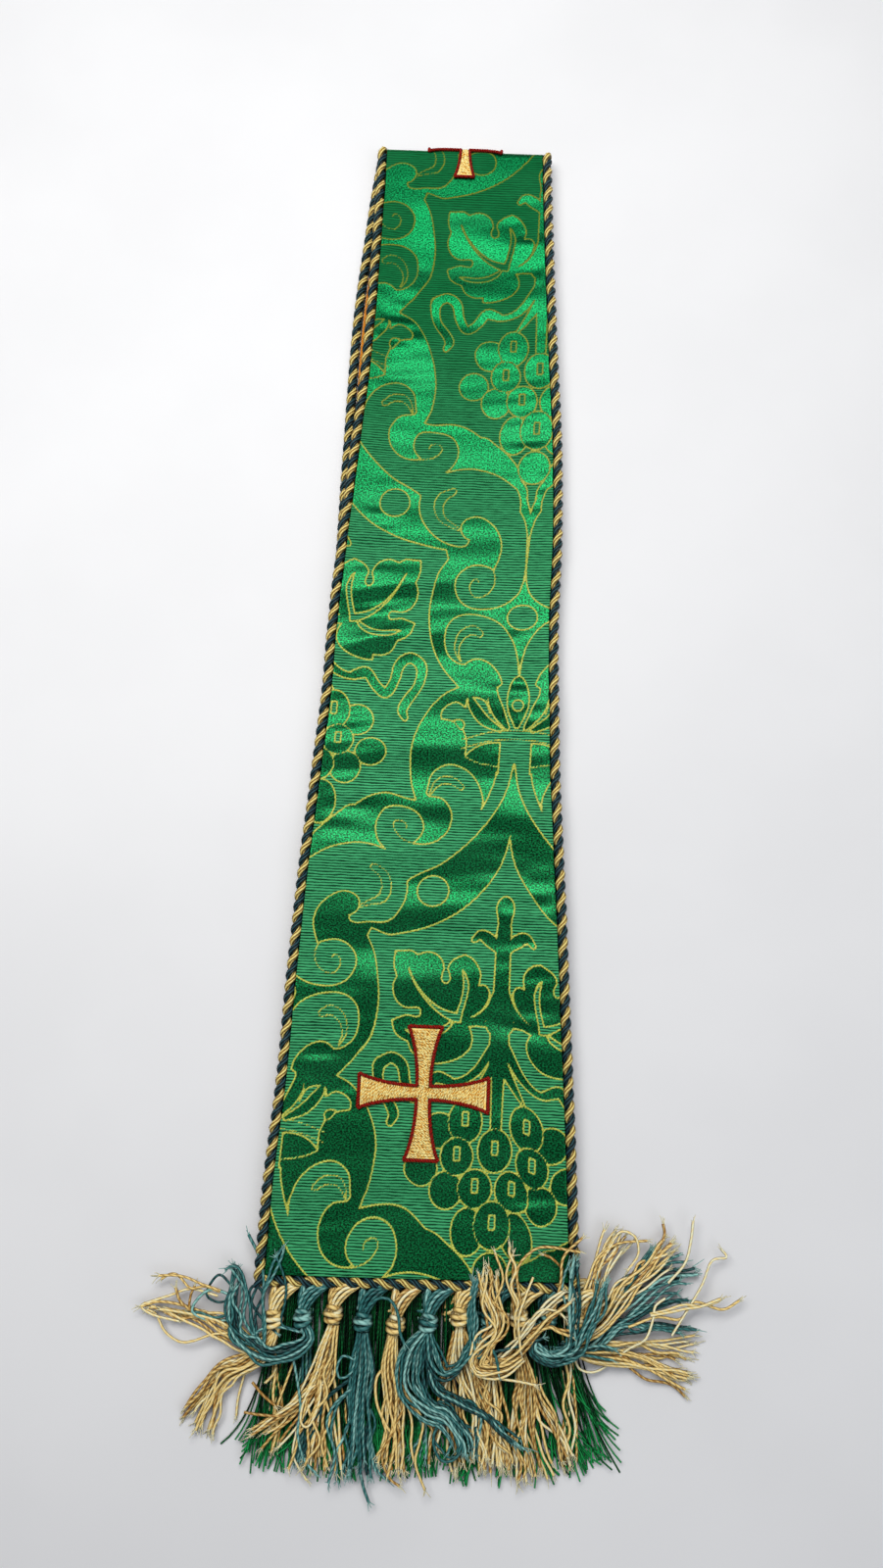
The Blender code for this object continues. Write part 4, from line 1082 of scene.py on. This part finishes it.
# ---------------------------------------------------------------- knotted tassels
# Each tassel is a hank of two-ply rayon yarn pulled through the hem, gathered in one hand knot and
# left to hang; old gold and blue-green take turns. The under half has its own row beneath.
KNOTS = {
    "upper": (
        (-56.8, -266.4), (-45.5, -265.6), (-33.6, -263.7), (-21.8, -266.1), (-8.9, -266.7), (3.9, -265.5),
        (16.2, -262.8), (28.2, -262.2), (39.4, -262.2), (50.6, -262.2), (61.4, -261.8)),
    "lower": (
        (-56, -260.5), (-44.7, -263), (-33.4, -262.5), (-22, -262.5), (-10.5, -262.5), (1, -262.5),
        (12.5, -262.5), (24, -262.5), (35.8, -262.5), (47.2, -263), (58.6, -259.8)),
}
# Sprays of yarn: how many, half widths and heights from root to tip, and the way they lie as
# x and millimetres past the hem. A yarn on its own has only its heights and its way.
HANKS = {
    "upper 1": (
        (18, (1.6, 2.8, 6, 13), (6.6, 5, 3, 1.6), ((-55.5, 18.5), (-59.5, 28.5), (-67, 34), (-75, 38.5),
            (-81, 48.5), (-85, 59.5))),
        (9, (1.6, 3, 6.5, 4, 1), (6.4, 5, 5, 4, 3), ((-56, 18.5), (-64, 26.5), (-74.5, 21.5), (-85.5, 17.5),
            (-96.5, 16), (-107, 15))),
        ((6, 4, 3), ((-74.5, 22.5), (-81, 23.5), (-88.5, 26.5), (-94, 27), (-100, 23.5), (-104, 17.5),
            (-107.5, 16))),
        ((6, 5, 6), ((-79.5, 19), (-87, 16.5), (-94, 12), (-96.5, 6.5))),
        ((6, 5, 6), ((-83, 17.5), (-90, 15), (-90.5, 10), (-89, 5.5))),
        (2, (0.5, 1), (7, 6, 5), ((-78.5, 7), (-88, 4.5), (-99, 3), (-106, 2.5))),
        ((6, 4, 4), ((-79.5, 9), (-90.5, 7), (-99, 10), (-106, 12.5), (-110, 14.5), (-105, 17.5),
            (-94.5, 19.5))),
        ((6, 4, 4), ((-75, 21), (-83, 16.5), (-93.5, 13.5), (-103, 12.5), (-110, 14.5))),
        ((3, 2, 1), ((-67, 35.5), (-69.5, 47), (-70, 54))),
    ),
    "upper 2": (
        (10, (1.7, 2.6, 3.4, 4.2, 4.4, 3.4), (7.6, 9, 9.5, 8, 7, 6), ((-44.5, 18), (-42.5, 22.5),
            (-47, 26.5), (-55, 29), (-64.5, 27), (-71, 21.5), (-73.5, 13.5), (-73.5, 5), (-73, -2))),
        (3, (0.5, 2, 2), (8, 8, 8), ((-55, 28), (-62, 25), (-66, 18), (-68, 8.5), (-70.5, 0), (-74, -2.5),
            (-78.5, 0.5))),
        ((7, 6, 5), ((-73.5, 5.5), (-79, 1), (-82.5, 4), (-84, 9), (-79, 11.5), (-73.5, 9.5))),
        ((7, 6, 5), ((-73.5, 8.5), (-82, 6.5), (-87.5, 10.5), (-89, 15.5), (-81, 18.5), (-73.5, 17.5))),
        ((7, 6, 5), ((-72, 14), (-79.5, 17), (-86.5, 15.5), (-91, 16))),
        ((8, 8, 7), ((-64.5, 26.5), (-65, 18), (-66, 10.5), (-64, 4.5), (-61.5, 0.5))),
        (2, (0.3, 0.7), (8, 10, 8), ((-60, 27.5), (-60, 14.5), (-61, 6), (-58.5, -2), (-56, -7),
            (-53.5, -12))),
        ((8, 10, 9), ((-47, 20), (-53.5, 17.5), (-52.5, 9.5), (-52.5, 3), (-55, -3.5), (-57, -7))),
        ((8, 9, 6), ((-60, 25.5), (-61, 15), (-61.5, 2), (-64, -6.5), (-69, -14.5))),
        ((8, 9, 8), ((-67, 25), (-60.5, 19.5), (-53, 19), (-46.5, 20.5))),
        ((8, 6, 5), ((-48.5, 29), (-46, 39.5), (-44.5, 48.5), (-45, 58.5), (-42, 67.5), (-37.5, 72))),
        ((8, 8, 8), ((-61.5, 27.5), (-64, 15), (-61.5, 7.5), (-65, 4), (-67, 8), (-62.5, 15), (-55.5, 21))),
    ),
    "upper 3": (
        (12, (1.7, 2.8, 4, 7, 11), (6.6, 5, 4.6, 4.4), ((-33.5, 17.5), (-36, 27), (-38.5, 37.5),
            (-46.5, 48.5), (-55.5, 56.5), (-61.5, 61.5))),
        (12, (1.9, 3.4, 4.4, 6, 8.5), (6.6, 5.6, 5, 4.4), ((-33, 17.5), (-35, 30), (-37.5, 42.5),
            (-38.5, 56.5), (-39.5, 73.5))),
        ((6, 7, 6), ((-36, 40), (-40.5, 41), (-43.5, 47), (-44, 53.5), (-41, 55), (-38, 49), (-37, 40.5),
            (-38.5, 33))),
        ((5, 4, 4), ((-48, 31.5), (-51.5, 42), (-54, 49.5), (-56.5, 56))),
        ((5, 5, 5), ((-64, 40.5), (-59.5, 45), (-54, 49))),
        ((5, 6, 5), ((-66.5, 51.5), (-59, 52), (-50.5, 51.5), (-46, 46))),
        ((5, 6, 5), ((-45, 59), (-41.5, 53.5), (-37.5, 49), (-38, 41))),
        ((5, 4, 3), ((-45.5, 57), (-46.5, 66.5), (-41, 75.5))),
        ((5, 4, 3), ((-55, 34.5), (-56, 37.5), (-59, 41))),
    ),
    "upper 4": (
        (20, (2.2, 4.4, 4.8, 6, 10), (6.6, 6, 5, 4.4), ((-21.5, 20), (-21, 32.5), (-21.5, 45),
            (-21.5, 57.5), (-21, 73))),
        ((7, 7, 7), ((-24.5, 30), (-29, 29), (-31, 33.5), (-29.5, 37), (-25.5, 35), (-24, 29))),
        (2, (0.3, 1), (6, 5, 5), ((-26, 37.5), (-34.5, 45.5), (-39.5, 56), (-42, 64), (-40.5, 71))),
        ((5, 4, 4), ((-21, 67.5), (-19, 76), (-16.5, 82))),
        (2, (0.3, 1.5), (6, 5, 4), ((-24.5, 40.5), (-30.5, 47), (-32.5, 56.5), (-30.5, 67.5),
            (-29.5, 78.5))),
        ((9, 11, 10), ((-21, 11), (-16, 6.5), (-11, 7), (-8, 12), (-7, 18.5), (-5, 23))),
        ((5, 4, 3), ((-16.5, 60), (-13.5, 70.5), (-10.5, 74))),
    ),
    "upper 5": (
        (16, (1.9, 3.2, 4.4, 5.6, 9), (6.6, 6, 5, 4.4), ((-10, 20.5), (-10.5, 32), (-8.5, 43.5), (-7, 55),
            (-7.5, 72.5))),
        ((6, 6, 5), ((-12, 32), (-15.5, 37), (-15, 45.5), (-11.5, 53), (-7, 59))),
        ((6, 6, 5), ((-4, 42), (3, 51), (2.5, 58.5), (1, 67), (5, 76.5))),
        ((6, 6, 5), ((-5.5, 38), (-1, 47), (6.5, 54), (9.5, 62))),
        ((6, 6, 5), ((-4.5, 47.5), (-9, 57.5), (-12, 65), (-9, 72.5), (-5, 75.5))),
    ),
    "upper 6": (
        (14, (1.9, 4.6, 5, 4.6, 4.4, 6), (7.6, 8, 8, 7, 6.4), ((3, 18.5), (-2, 26.5), (-2.5, 38),
            (4.5, 46.5), (11.5, 49), (16.5, 54), (19.5, 58.5), (19, 64))),
        (5, (1, 2, 3), (7.6, 8, 7, 6), ((3.5, 18.5), (7.5, 37.5), (17, 43), (27.5, 48), (34.5, 54),
            (43, 60))),
        (7, (1.5, 3.4, 3.2, 2.5, 2), (7.6, 9, 10, 10, 9), ((4, 18), (5.5, 24.5), (10, 33), (16, 31),
            (19, 24.5), (23, 19.5))),
        ((9, 11, 11), ((18, 24.5), (21.5, 19.5), (25.5, 20), (30, 24.5), (32, 31.5))),
        ((9, 10, 10), ((21.5, 26), (33.5, 23.5), (42, 21), (49, 18.5))),
        (2, (0.3, 1.5), (6, 7, 6), ((14, 49.5), (9, 53.5), (8, 59), (12, 64), (17, 62.5), (17.5, 55.5),
            (13.5, 52))),
        (2, (0.3, 1), (6, 6, 6), ((17.5, 43), (25, 47), (24.5, 56.5), (24, 65))),
    ),
    "upper 7": (
        (14, (1.7, 4, 6, 9), (6.4, 5.4, 4.6), ((16.5, 16), (17, 26.5), (20.5, 37.5), (24, 48.5), (26, 60.5),
            (27, 71))),
        (5, (1.3, 2, 4), (6.4, 5.4, 4.6), ((18, 18.5), (25.5, 35), (30, 48.5), (35, 67))),
        (4, (1, 2, 3), (6, 5, 4), ((14.5, 18.5), (11, 37.5), (8.5, 53.5), (7, 68))),
    ),
    "upper 8": (
        (8, (1.6, 2.2, 2.6, 3.2), (7.8, 10, 10, 9), ((26, 16.5), (26, 23.5), (22.5, 25.5), (21, 15.5),
            (21, 5), (22.5, -6))),
        (2, (1, 2), (8, 9, 9), ((25, 15.5), (30, 12.5), (32, 2.5), (38, -2))),
        ((6, 5, 5), ((22, 33), (23, 39), (26, 43))),
    ),
    "upper 9": (
        (12, (2.2, 4, 4.4, 5.4, 6.4, 7), (7.8, 10.5, 11, 11, 10), ((41, 26), (33.5, 30), (24, 29.5),
            (26.5, 22.5), (30.5, 15), (28.5, 5.5), (24.5, -9))),
        (3, (1, 1.2, 1), (8, 11, 11), ((39.5, 24.5), (37.5, 11.5), (36.5, -1), (35.5, -17.5))),
        (8, (2.4, 4, 6), (8, 11, 11), ((31, 29.5), (39.5, 22), (46, 13.5), (52.5, 7), (60.5, 1))),
        ((9, 12, 11), ((42, 16), (39, 2.5), (38, -6.5), (42, -12.5), (48.5, -15.5), (62.5, -14))),
        ((9, 12, 11), ((41, 18), (46.5, 8.5), (53.5, 8), (57, 10.5))),
        (2, (0.4, 1), (9, 12, 11), ((42.5, 18.5), (50.5, 14), (54.5, 15), (60.5, 16))),
        ((9, 12, 11), ((52.5, 11), (55, -2), (56, -12), (63.5, -19.5))),
        ((9, 12, 11), ((56, -7), (52, -11), (48.5, -12.5))),
        ((9, 12, 11), ((44.5, -3.5), (41.5, 3.5), (39, 11.5), (40, 22.5))),
        ((8, 9, 9), ((21, 31), (31.5, 34), (40, 35), (46.5, 36))),
        ((9, 12, 11), ((31, 18), (29.5, 7), (32.5, -3), (29, -12.5))),
    ),
    "upper 10": (
        (8, (1.8, 2.6, 3.4, 3.4, 3.4), (7.8, 10, 11, 10), ((46, 18), (45.5, 24), (53, 26), (60, 21.5),
            (60, 11), (59, 0.5), (60.5, -11.5))),
        (6, (1.8, 2.4, 3.2), (8, 11, 12, 10), ((45.5, 22.5), (53, 26), (61.5, 23), (65.5, 15.5),
            (69.5, 6.5), (72, -3))),
        (4, (1.4, 2, 3), (8, 8, 7), ((46.5, 21.5), (53.5, 26), (65.5, 23.5), (78, 24.5))),
    ),
    "upper 11": (
        (11, (1.8, 3.6, 5, 7), (6.8, 7, 7, 6), ((58.5, 18), (64.5, 18), (67.5, 8), (70, -5), (79.5, -21))),
        (17, (1.8, 3.6, 6, 9, 14), (6, 5, 4, 3, 2), ((59.5, 23), (67.5, 25), (78, 25), (88, 26), (98.5, 28),
            (108, 30))),
        (12, (1.8, 4, 7, 10), (6.8, 8, 8, 6, 5), ((60, 21.5), (70.5, 13), (79.5, 2), (91, -8.5),
            (100.5, -17))),
        ((8, 8, 7), ((73.5, -13.5), (78.5, -21.5), (84.5, -20), (86, -13.5), (82, -7))),
        ((8, 8, 7), ((68, -3.5), (70.5, -11), (77.5, -17), (89.5, -18.5))),
        ((6, 8, 3, 4), ((97, 3), (93, 6), (92, 11), (89, 18), (82.5, 22.5), (77, 28), (70, 32), (64, 31),
            (61.5, 26))),
        ((7, 6, 5), ((82.5, 14), (93.5, 10), (103, 10.5), (108.5, 4), (119.5, 6.5), (126.5, 3))),
        ((7, 6, 5), ((99.5, 16.5), (111, -1.5), (115.5, -11.5), (121.5, -13), (119.5, -16))),
        ((7, 7, 6), ((98, -3), (104.5, -10.5), (107, -19), (108, -26.5))),
        (2, (0.5, 1), (7, 7, 6), ((91, 9), (104, 6), (110.5, 5), (119.5, 2))),
        ((7, 7, 6), ((87.5, -9), (94, -16), (96.5, -21), (96, -25))),
    ),
    "lower 10": (
        (15, (1.8, 4, 7, 10, 12), (2, 5, 5, 4, 3), ((50, 24), (64, 23), (76, 12), (88, 3), (100, -2.5),
            (110.5, -3.5))),
        (5, (1.2, 3, 5), (2, 5, 5, 4), ((52, 25), (65.5, 22.5), (78.5, 15), (91.5, 13.5), (108.5, 14.5))),
        (3, (1, 2, 3.4), (3, 7, 6), ((57, 23.5), (70.5, 15), (82.5, -2), (94.5, -19.5))),
        ((5, 6, 5), ((75.5, 11.5), (80, 12), (85, 16), (93, 14), (109.5, 14.5))),
    ),
    "lower 9": (
        (16, (1.8, 4, 7, 11), (4, 4, 4, 3.6), ((40, 24.5), (42.5, 37), (43, 52.5), (45.5, 64), (48, 73.5))),
        (6, (1.2, 3, 5.5), (2, 4, 4, 4), ((42.5, 29.5), (47, 39), (54.5, 53.5), (62.5, 66.5))),
    ),
    "lower 7": (
        (14, (1.8, 5, 10), (4, 4, 4, 3.6), ((28.5, 26.5), (29.5, 41), (32.5, 56.5), (35, 71))),
    ),
    "lower 5": (
        (9, (1.8, 4, 8), (3, 3.4, 3.4, 3.2), ((11, 30.5), (12.5, 42), (15.5, 56), (18, 71))),
    ),
    "lower 3": (
        (8, (1.8, 4, 8), (3, 3.4, 3.4, 3.2), ((-36.5, 26), (-33, 41.5), (-30, 57), (-27.5, 72))),
    ),
}
PAST_HEM = (1, -1)
YARN_RADIUS = 0.59
ROUTE_STEP = 0.5
HALF_HANKS_APART = 9.6
KNOT_TURNS = 5
KNOT_HALF_LENGTH = 2.5


def yarn_material(name, shadow, deep, plain, pale):
    """Two-ply yarn: painted shade between the plies and on the flanks, painted highlights on the crowns, and
    pale at the frayed tips.
    """
    yarn = Yarn(name, 0.42, 0.3, plies=2, turn=2.9, fibre_scale=1300.0)
    tone = yarn.crown * 0.26 + yarn.fibres * 0.25 + attribute(yarn.start, "shade") * 0.8
    tone = tone.between(0.08, 1.1)
    colour = tone.between(0.0, 0.5).mix(deep, plain)
    colour = tone.between(0.5, 1.0).mix(colour, pale)
    return yarn.colour(colour, shadow, 0.2, yarn.crown + yarn.fibres * 0.4, 0.4, 0.16)


gold_yarn = yarn_material(
    "gold_yarn", (0.085, 0.030, 0.004), (0.36, 0.16, 0.024), (1.0, 0.74, 0.27), (1.0, 0.97, 0.66))
teal_yarn = yarn_material(
    "teal_yarn", (0.0004, 0.004, 0.005), (0.002, 0.022, 0.026), (0.032, 0.175, 0.170), (0.34, 0.66, 0.60))


def aside_of(middle):
    """Level directions square to a route, at each of its points."""
    way = np.gradient(middle, axis=0)
    return unit(np.column_stack((-way[:, 1], way[:, 0], 0 * way[:, 0])))


class Hank:
    """The yarns of one tassel, gathered part by part and made into one mesh."""

    def __init__(self, seed):
        self.draw = np.random.default_rng(seed)
        self.parts, self.shade = [], []

    def add(self, paths, radius, sides, shade):
        points, faces, uv = tubes(paths, radius, sides)
        uv = uv.reshape(len(paths), -1, 2) + self.draw.uniform(0, 6, (len(paths), 1, 1)) * (0, 1)
        self.parts.append((points, faces, uv.reshape(-1, 2)))
        self.shade.append(np.repeat(shade, len(points) // len(paths)))

    def packed(self, count):
        """Places of a hank's yarns in its round section, from -1 to 1."""
        k = np.arange(count)
        radius = np.sqrt((k + 0.5) / count)
        return radius * np.cos(k * 2.39996), radius * np.sin(k * 2.39996)

    def spray(self, count, widths, heights, route, rings=44):
        """Yarns side by side along one given route, crossing, waving and cut at their own length."""
        draw = self.draw
        middle = even_route([(x, y, 0) for x, y in route], ROUTE_STEP)
        share = np.linspace(0, 1, len(middle))
        middle[:, 2] = np.interp(share, np.linspace(0, 1, len(heights)), heights)
        aside = aside_of(middle)
        length = len(middle) * ROUTE_STEP
        alone = count == 1
        a, b = (np.zeros(1), np.zeros(1)) if alone else self.packed(count)
        later = a[draw.permutation(count)]
        at = np.linspace(0, 1, rings) * (np.ones((1, 1)) if alone else draw.uniform(0.86, 1.0, (count, 1)))
        place = np.stack([np.interp(at, share, middle[:, k]) for k in range(3)], -1)
        side = np.stack([np.interp(at, share, aside[:, k]) for k in range(2)], -1)
        width = np.interp(at, np.linspace(0, 1, len(widths)), widths) * (1 + 0.22 * ease(at, 0.03, 0.2))
        crossing = 0.55 * ease(at, 0.25, 0.95)
        offset = (a[:, None] * (1 - crossing) + later[:, None] * crossing) * width
        if not alone:
            turns = length / draw.uniform(13, 30, (count, 1))
            reach = draw.normal(0, 0.75, (count, 1))
            waving = np.sin(at * turns * 6.28 + draw.uniform(0, 6.3, (count, 1)))
            offset += reach * waving * ease(at, 0.05, 0.5)
        place[..., :2] += side * offset[..., None]
        place[..., 2] += b[:, None] * np.minimum(1.6, 0.6 + 0.35 * width)
        place[..., 2] = np.maximum(place[..., 2], YARN_RADIUS)
        self.add(place, YARN_RADIUS * draw.uniform(0.88, 1.08, (count, 1)), 6, draw.uniform(0.0, 0.75, count))
        self.fray(place[:, -1], place[:, -3])

    def fray(self, tips, before, count=5):
        """Fine fibres that spread from the yarns' cut ends."""
        draw = self.draw
        ahead = np.repeat(unit(tips - before), count, 0)
        root = np.repeat(tips, count, 0) - ahead * 0.5 + draw.normal(0, 0.2, ahead.shape)
        way = ahead + draw.normal(0, 0.27, ahead.shape) * (1, 1, 0.4)
        share = np.linspace(0, 1, 5)[None, :, None]
        paths = root[:, None] + way[:, None] * draw.uniform(1.2, 3.4, (len(root), 1, 1)) * share
        paths += draw.normal(0, 0.5, ahead.shape)[:, None] * share**2 * (1, 1, 0.3)
        paths[..., 2] = np.maximum(paths[..., 2], 0.3)
        self.add(paths, np.linspace(0.27, 0.13, 5), 3, np.full(len(paths), 0.8))

    def gather(self, start, end, wide, count, lift, radius, over=(0, 0, 0)):
        """A half hank that swells between the knot and the hem like a leaf, bowed over to one side."""
        share = np.linspace(0, 1, 16)
        a, b = self.packed(count)
        swell = np.sin(np.pi * np.clip(share * 0.9 + 0.1, 0, 1)) ** 0.7
        run = np.asarray(end) - start
        middle = start + run * share[:, None] + 4 * np.array(over) * (share * (1 - share))[:, None]
        paths = middle + aside_of(middle) * (a[:, None, None] * wide * swell[:, None])
        paths[..., 2] += b[:, None] * swell * wide * 0.6 + lift * np.sin(np.pi * share)
        self.add(paths, radius, 6, self.draw.uniform(0.1, 0.7, count))

    def knot(self, place, axis, wide, high):
        """Turns of yarn round the gathered hank, each leaning a little, over a plump core."""
        aside = np.cross(axis, (0, 0, 1))
        self.gather(place - axis * 3.6, place + axis * 3.6, wide=wide * 0.6, count=6, lift=0.0, radius=0.75)
        angle = np.linspace(0, 2 * np.pi, 20)
        wraps = []
        for k, at in enumerate(np.linspace(-1, 1, KNOT_TURNS)):
            swell = 1 - 0.38 * at**2
            lean = 0.9 * np.sin(angle + 0.6) * (1 if k % 2 else -0.6)
            wrap = place + axis * (at * KNOT_HALF_LENGTH + lean)[:, None]
            wrap = wrap + aside * (wide * swell * np.cos(angle))[:, None]
            wraps.append(wrap + np.array((0, 0, 1)) * (high * swell * np.sin(angle))[:, None])
        self.add(wraps, 1.0, 7, self.draw.uniform(0.2, 0.8, len(wraps)))


for half, knot_z, wide, high, hem_z in (("upper", 7.2, 3.1, 2.8, 6.6), ("lower", 2.35, 2.6, 1.3, 1.5)):
    for row, (x, y) in enumerate(KNOTS[half]):
        # A hank that the upper row hides hangs straight and opens out a little.
        straight = ((x, y - 4), (x + 0.5, y - 22), (x + 1.5, y - 40), (x + 1, y - 58))
        sprays = [(9, (1.6, 2.4, 3.6), (2.2, 2.2, 2.0), np.array(straight))]
        if f"{half} {row + 1}" in HANKS:
            sprays = [
                (*(bunch or (1, (0,))), heights, (0, HEM_Y) + np.array(way) * PAST_HEM)
                for *bunch, heights, way in HANKS[f"{half} {row + 1}"]]
        hank = Hank(100 * row + len(half))
        facing = sprays[0][-1][0] - (x, y)
        facing = np.array((*(facing / np.linalg.norm(facing)) * (0.35, 1), 0))
        facing /= np.linalg.norm(facing)
        place = np.array((x, y, knot_z))
        hem_end = HEM_Y + 0.9 - (past_under(x) if half == "upper" else 0)
        above = place - facing * 1.5
        near_end, far_end = (x - 0.6, hem_end, hem_z), (x + HALF_HANKS_APART, hem_end, hem_z)
        hank.gather(above, near_end, wide=1.9, count=6, lift=0.2, radius=0.66)
        hank.gather(above, far_end, wide=2.7, count=9, lift=0.9, radius=0.72, over=(-1.7, 1.9, 0))
        hank.knot(place, facing, wide, high)
        for spray in sprays:
            hank.spray(*spray)
        material, slot = ((gold_yarn, "gold_yarn"), (teal_yarn, "teal_yarn"))[row % 2]
        points, faces, uv = joined(hank.parts)
        made = make_piece(
            f"{half}_hank_{row + 1:02d}", points, faces, material, slot, corner_uv=uv,
            shade=np.concatenate(hank.shade))
        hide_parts(f"tassel_{half}_{row + 1:02d}")


# ---------------------------------------------------------------- cut green fringe
# A heading tape sewn behind the hem carries a close row of fine green rayon threads, cut level.
# They are painted nearly black near the heading, as the shade where they crowd together, and painted brighter
# towards the cut ends, as the light caught where they open out; each thread also has a random tone of its
# own.
GREEN_RADIUS = 0.34
GREEN_RINGS = 16
HEADING_HALF = 58.0
FRINGE_REACH = 69.0
TAPE_Y = -250.6
THREADS_Y = -250.9

green = Yarn("green_yarn", 0.5, 0.12, plies=2, turn=1.9, fibre_scale=700.0)
# Painted shade and light: the thread's shade value runs the colour from near black to bright green; the ply
# grooves and the flanks get painted shade too.
tone = (green.crown * 0.3 + green.fibres * 0.3 + attribute(green.start, "shade")).between(0.2, 1.5)
green_yarn = green.colour(
    tone.mix((0.0003, 0.006, 0.002), (0.02, 0.44, 0.11)), (0.0, 0.002, 0.001), 0.2, green.crown, 0.6, 0.12)

for half, count, heading_z, levels, seed in (
    ("upper", 330, 4.6, (4.1, 3.6, 2.7, 2.4), 5), ("lower", 200, 3.3, (2.6, 1.9, 1.2, 0.8), 6),
):
    draw = np.random.default_rng(seed)
    share = np.linspace(0, 1, GREEN_RINGS)
    at = np.sort(draw.uniform(-1, 1, count))
    lock = np.round(at * 13 + draw.normal(0, 0.3, count)) / 13
    # Threads at the right swing out, some of them short; at the left they hang nearly straight.
    swing = np.interp(at, (-1, -0.8, -0.5, 0.5, 0.85, 1), (-7, -4, 0, 3, 12, 20))
    swing += np.sin(lock * 60) * 2.2 + (lock - at) * 30 + draw.normal(0, 1.6, count)
    long = FRINGE_REACH * draw.uniform(0.84, 1.0, count) * (1 + 0.035 * np.sin(lock * 37))
    short = (at > 0.7) & (draw.uniform(0, 1, count) < 0.35)
    swing[short] += draw.uniform(2, 9, short.sum())
    long[short] *= draw.uniform(0.68, 0.9, short.sum())
    heading = np.radians(swing[:, None]) * (0.35 + 1.1 * share)
    sway = draw.normal(0, 0.05, (count, 1))
    heading += sway * np.sin(share * draw.uniform(4, 9, (count, 1)))
    heading += draw.normal(0.05, 0.3, (count, 1)) * share**4
    step = long[:, None] / (GREEN_RINGS - 1)
    x = HEADING_HALF * at[:, None] + np.cumsum(np.sin(heading) * step, 1)
    y = THREADS_Y - np.cumsum(np.cos(heading) * step, 1)
    z = np.interp(share, (0, 0.28, 0.5, 1), levels)
    z = z + draw.uniform(-0.5, 0.6, (count, 1)) * ease(share, 0, 0.2)
    points, faces, uv = tubes(np.stack((x, y, np.maximum(z, GREEN_RADIUS)), -1), GREEN_RADIUS, 4)
    # Painted light and shade: each thread's random tone, raised towards its cut end as a painted highlight
    # and kept low near the heading as painted shade.
    bright = draw.uniform(-0.15, 0.35, (count, 1))
    bright = bright + ease(share, 0.62, 1.0) * draw.uniform(0.3, 1.0, (count, 1))
    bright = np.repeat(bright.ravel(), 4)
    # The heading tape is coloured near black: painted shade in the gaps between the threads' roots.
    foot, top = heading_z - 0.5, heading_z + 0.3
    section = ((TAPE_Y, foot), (TAPE_Y, top), (TAPE_Y - 2, top), (TAPE_Y - 2, foot))
    tape = np.array([(x, y, z) for x in (-HEADING_HALF, HEADING_HALF) for y, z in section])
    tape_faces = np.array([(0, 1, 5, 4), (1, 2, 6, 5), (2, 3, 7, 6), (3, 0, 4, 7)])
    points, faces, uv = joined([(points, faces, uv), (tape, tape_faces, np.zeros((16, 2)))])
    made = make_piece(
        f"{half}_cut_fringe", points, faces, green_yarn, "green_yarn", corner_uv=uv,
        shade=np.concatenate((bright, np.zeros(8))))
    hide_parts(f"green_fringe_{half}")

size = {"cad": [list(corner) for corner in cad_box], "visual": [list(corner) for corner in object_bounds()]}
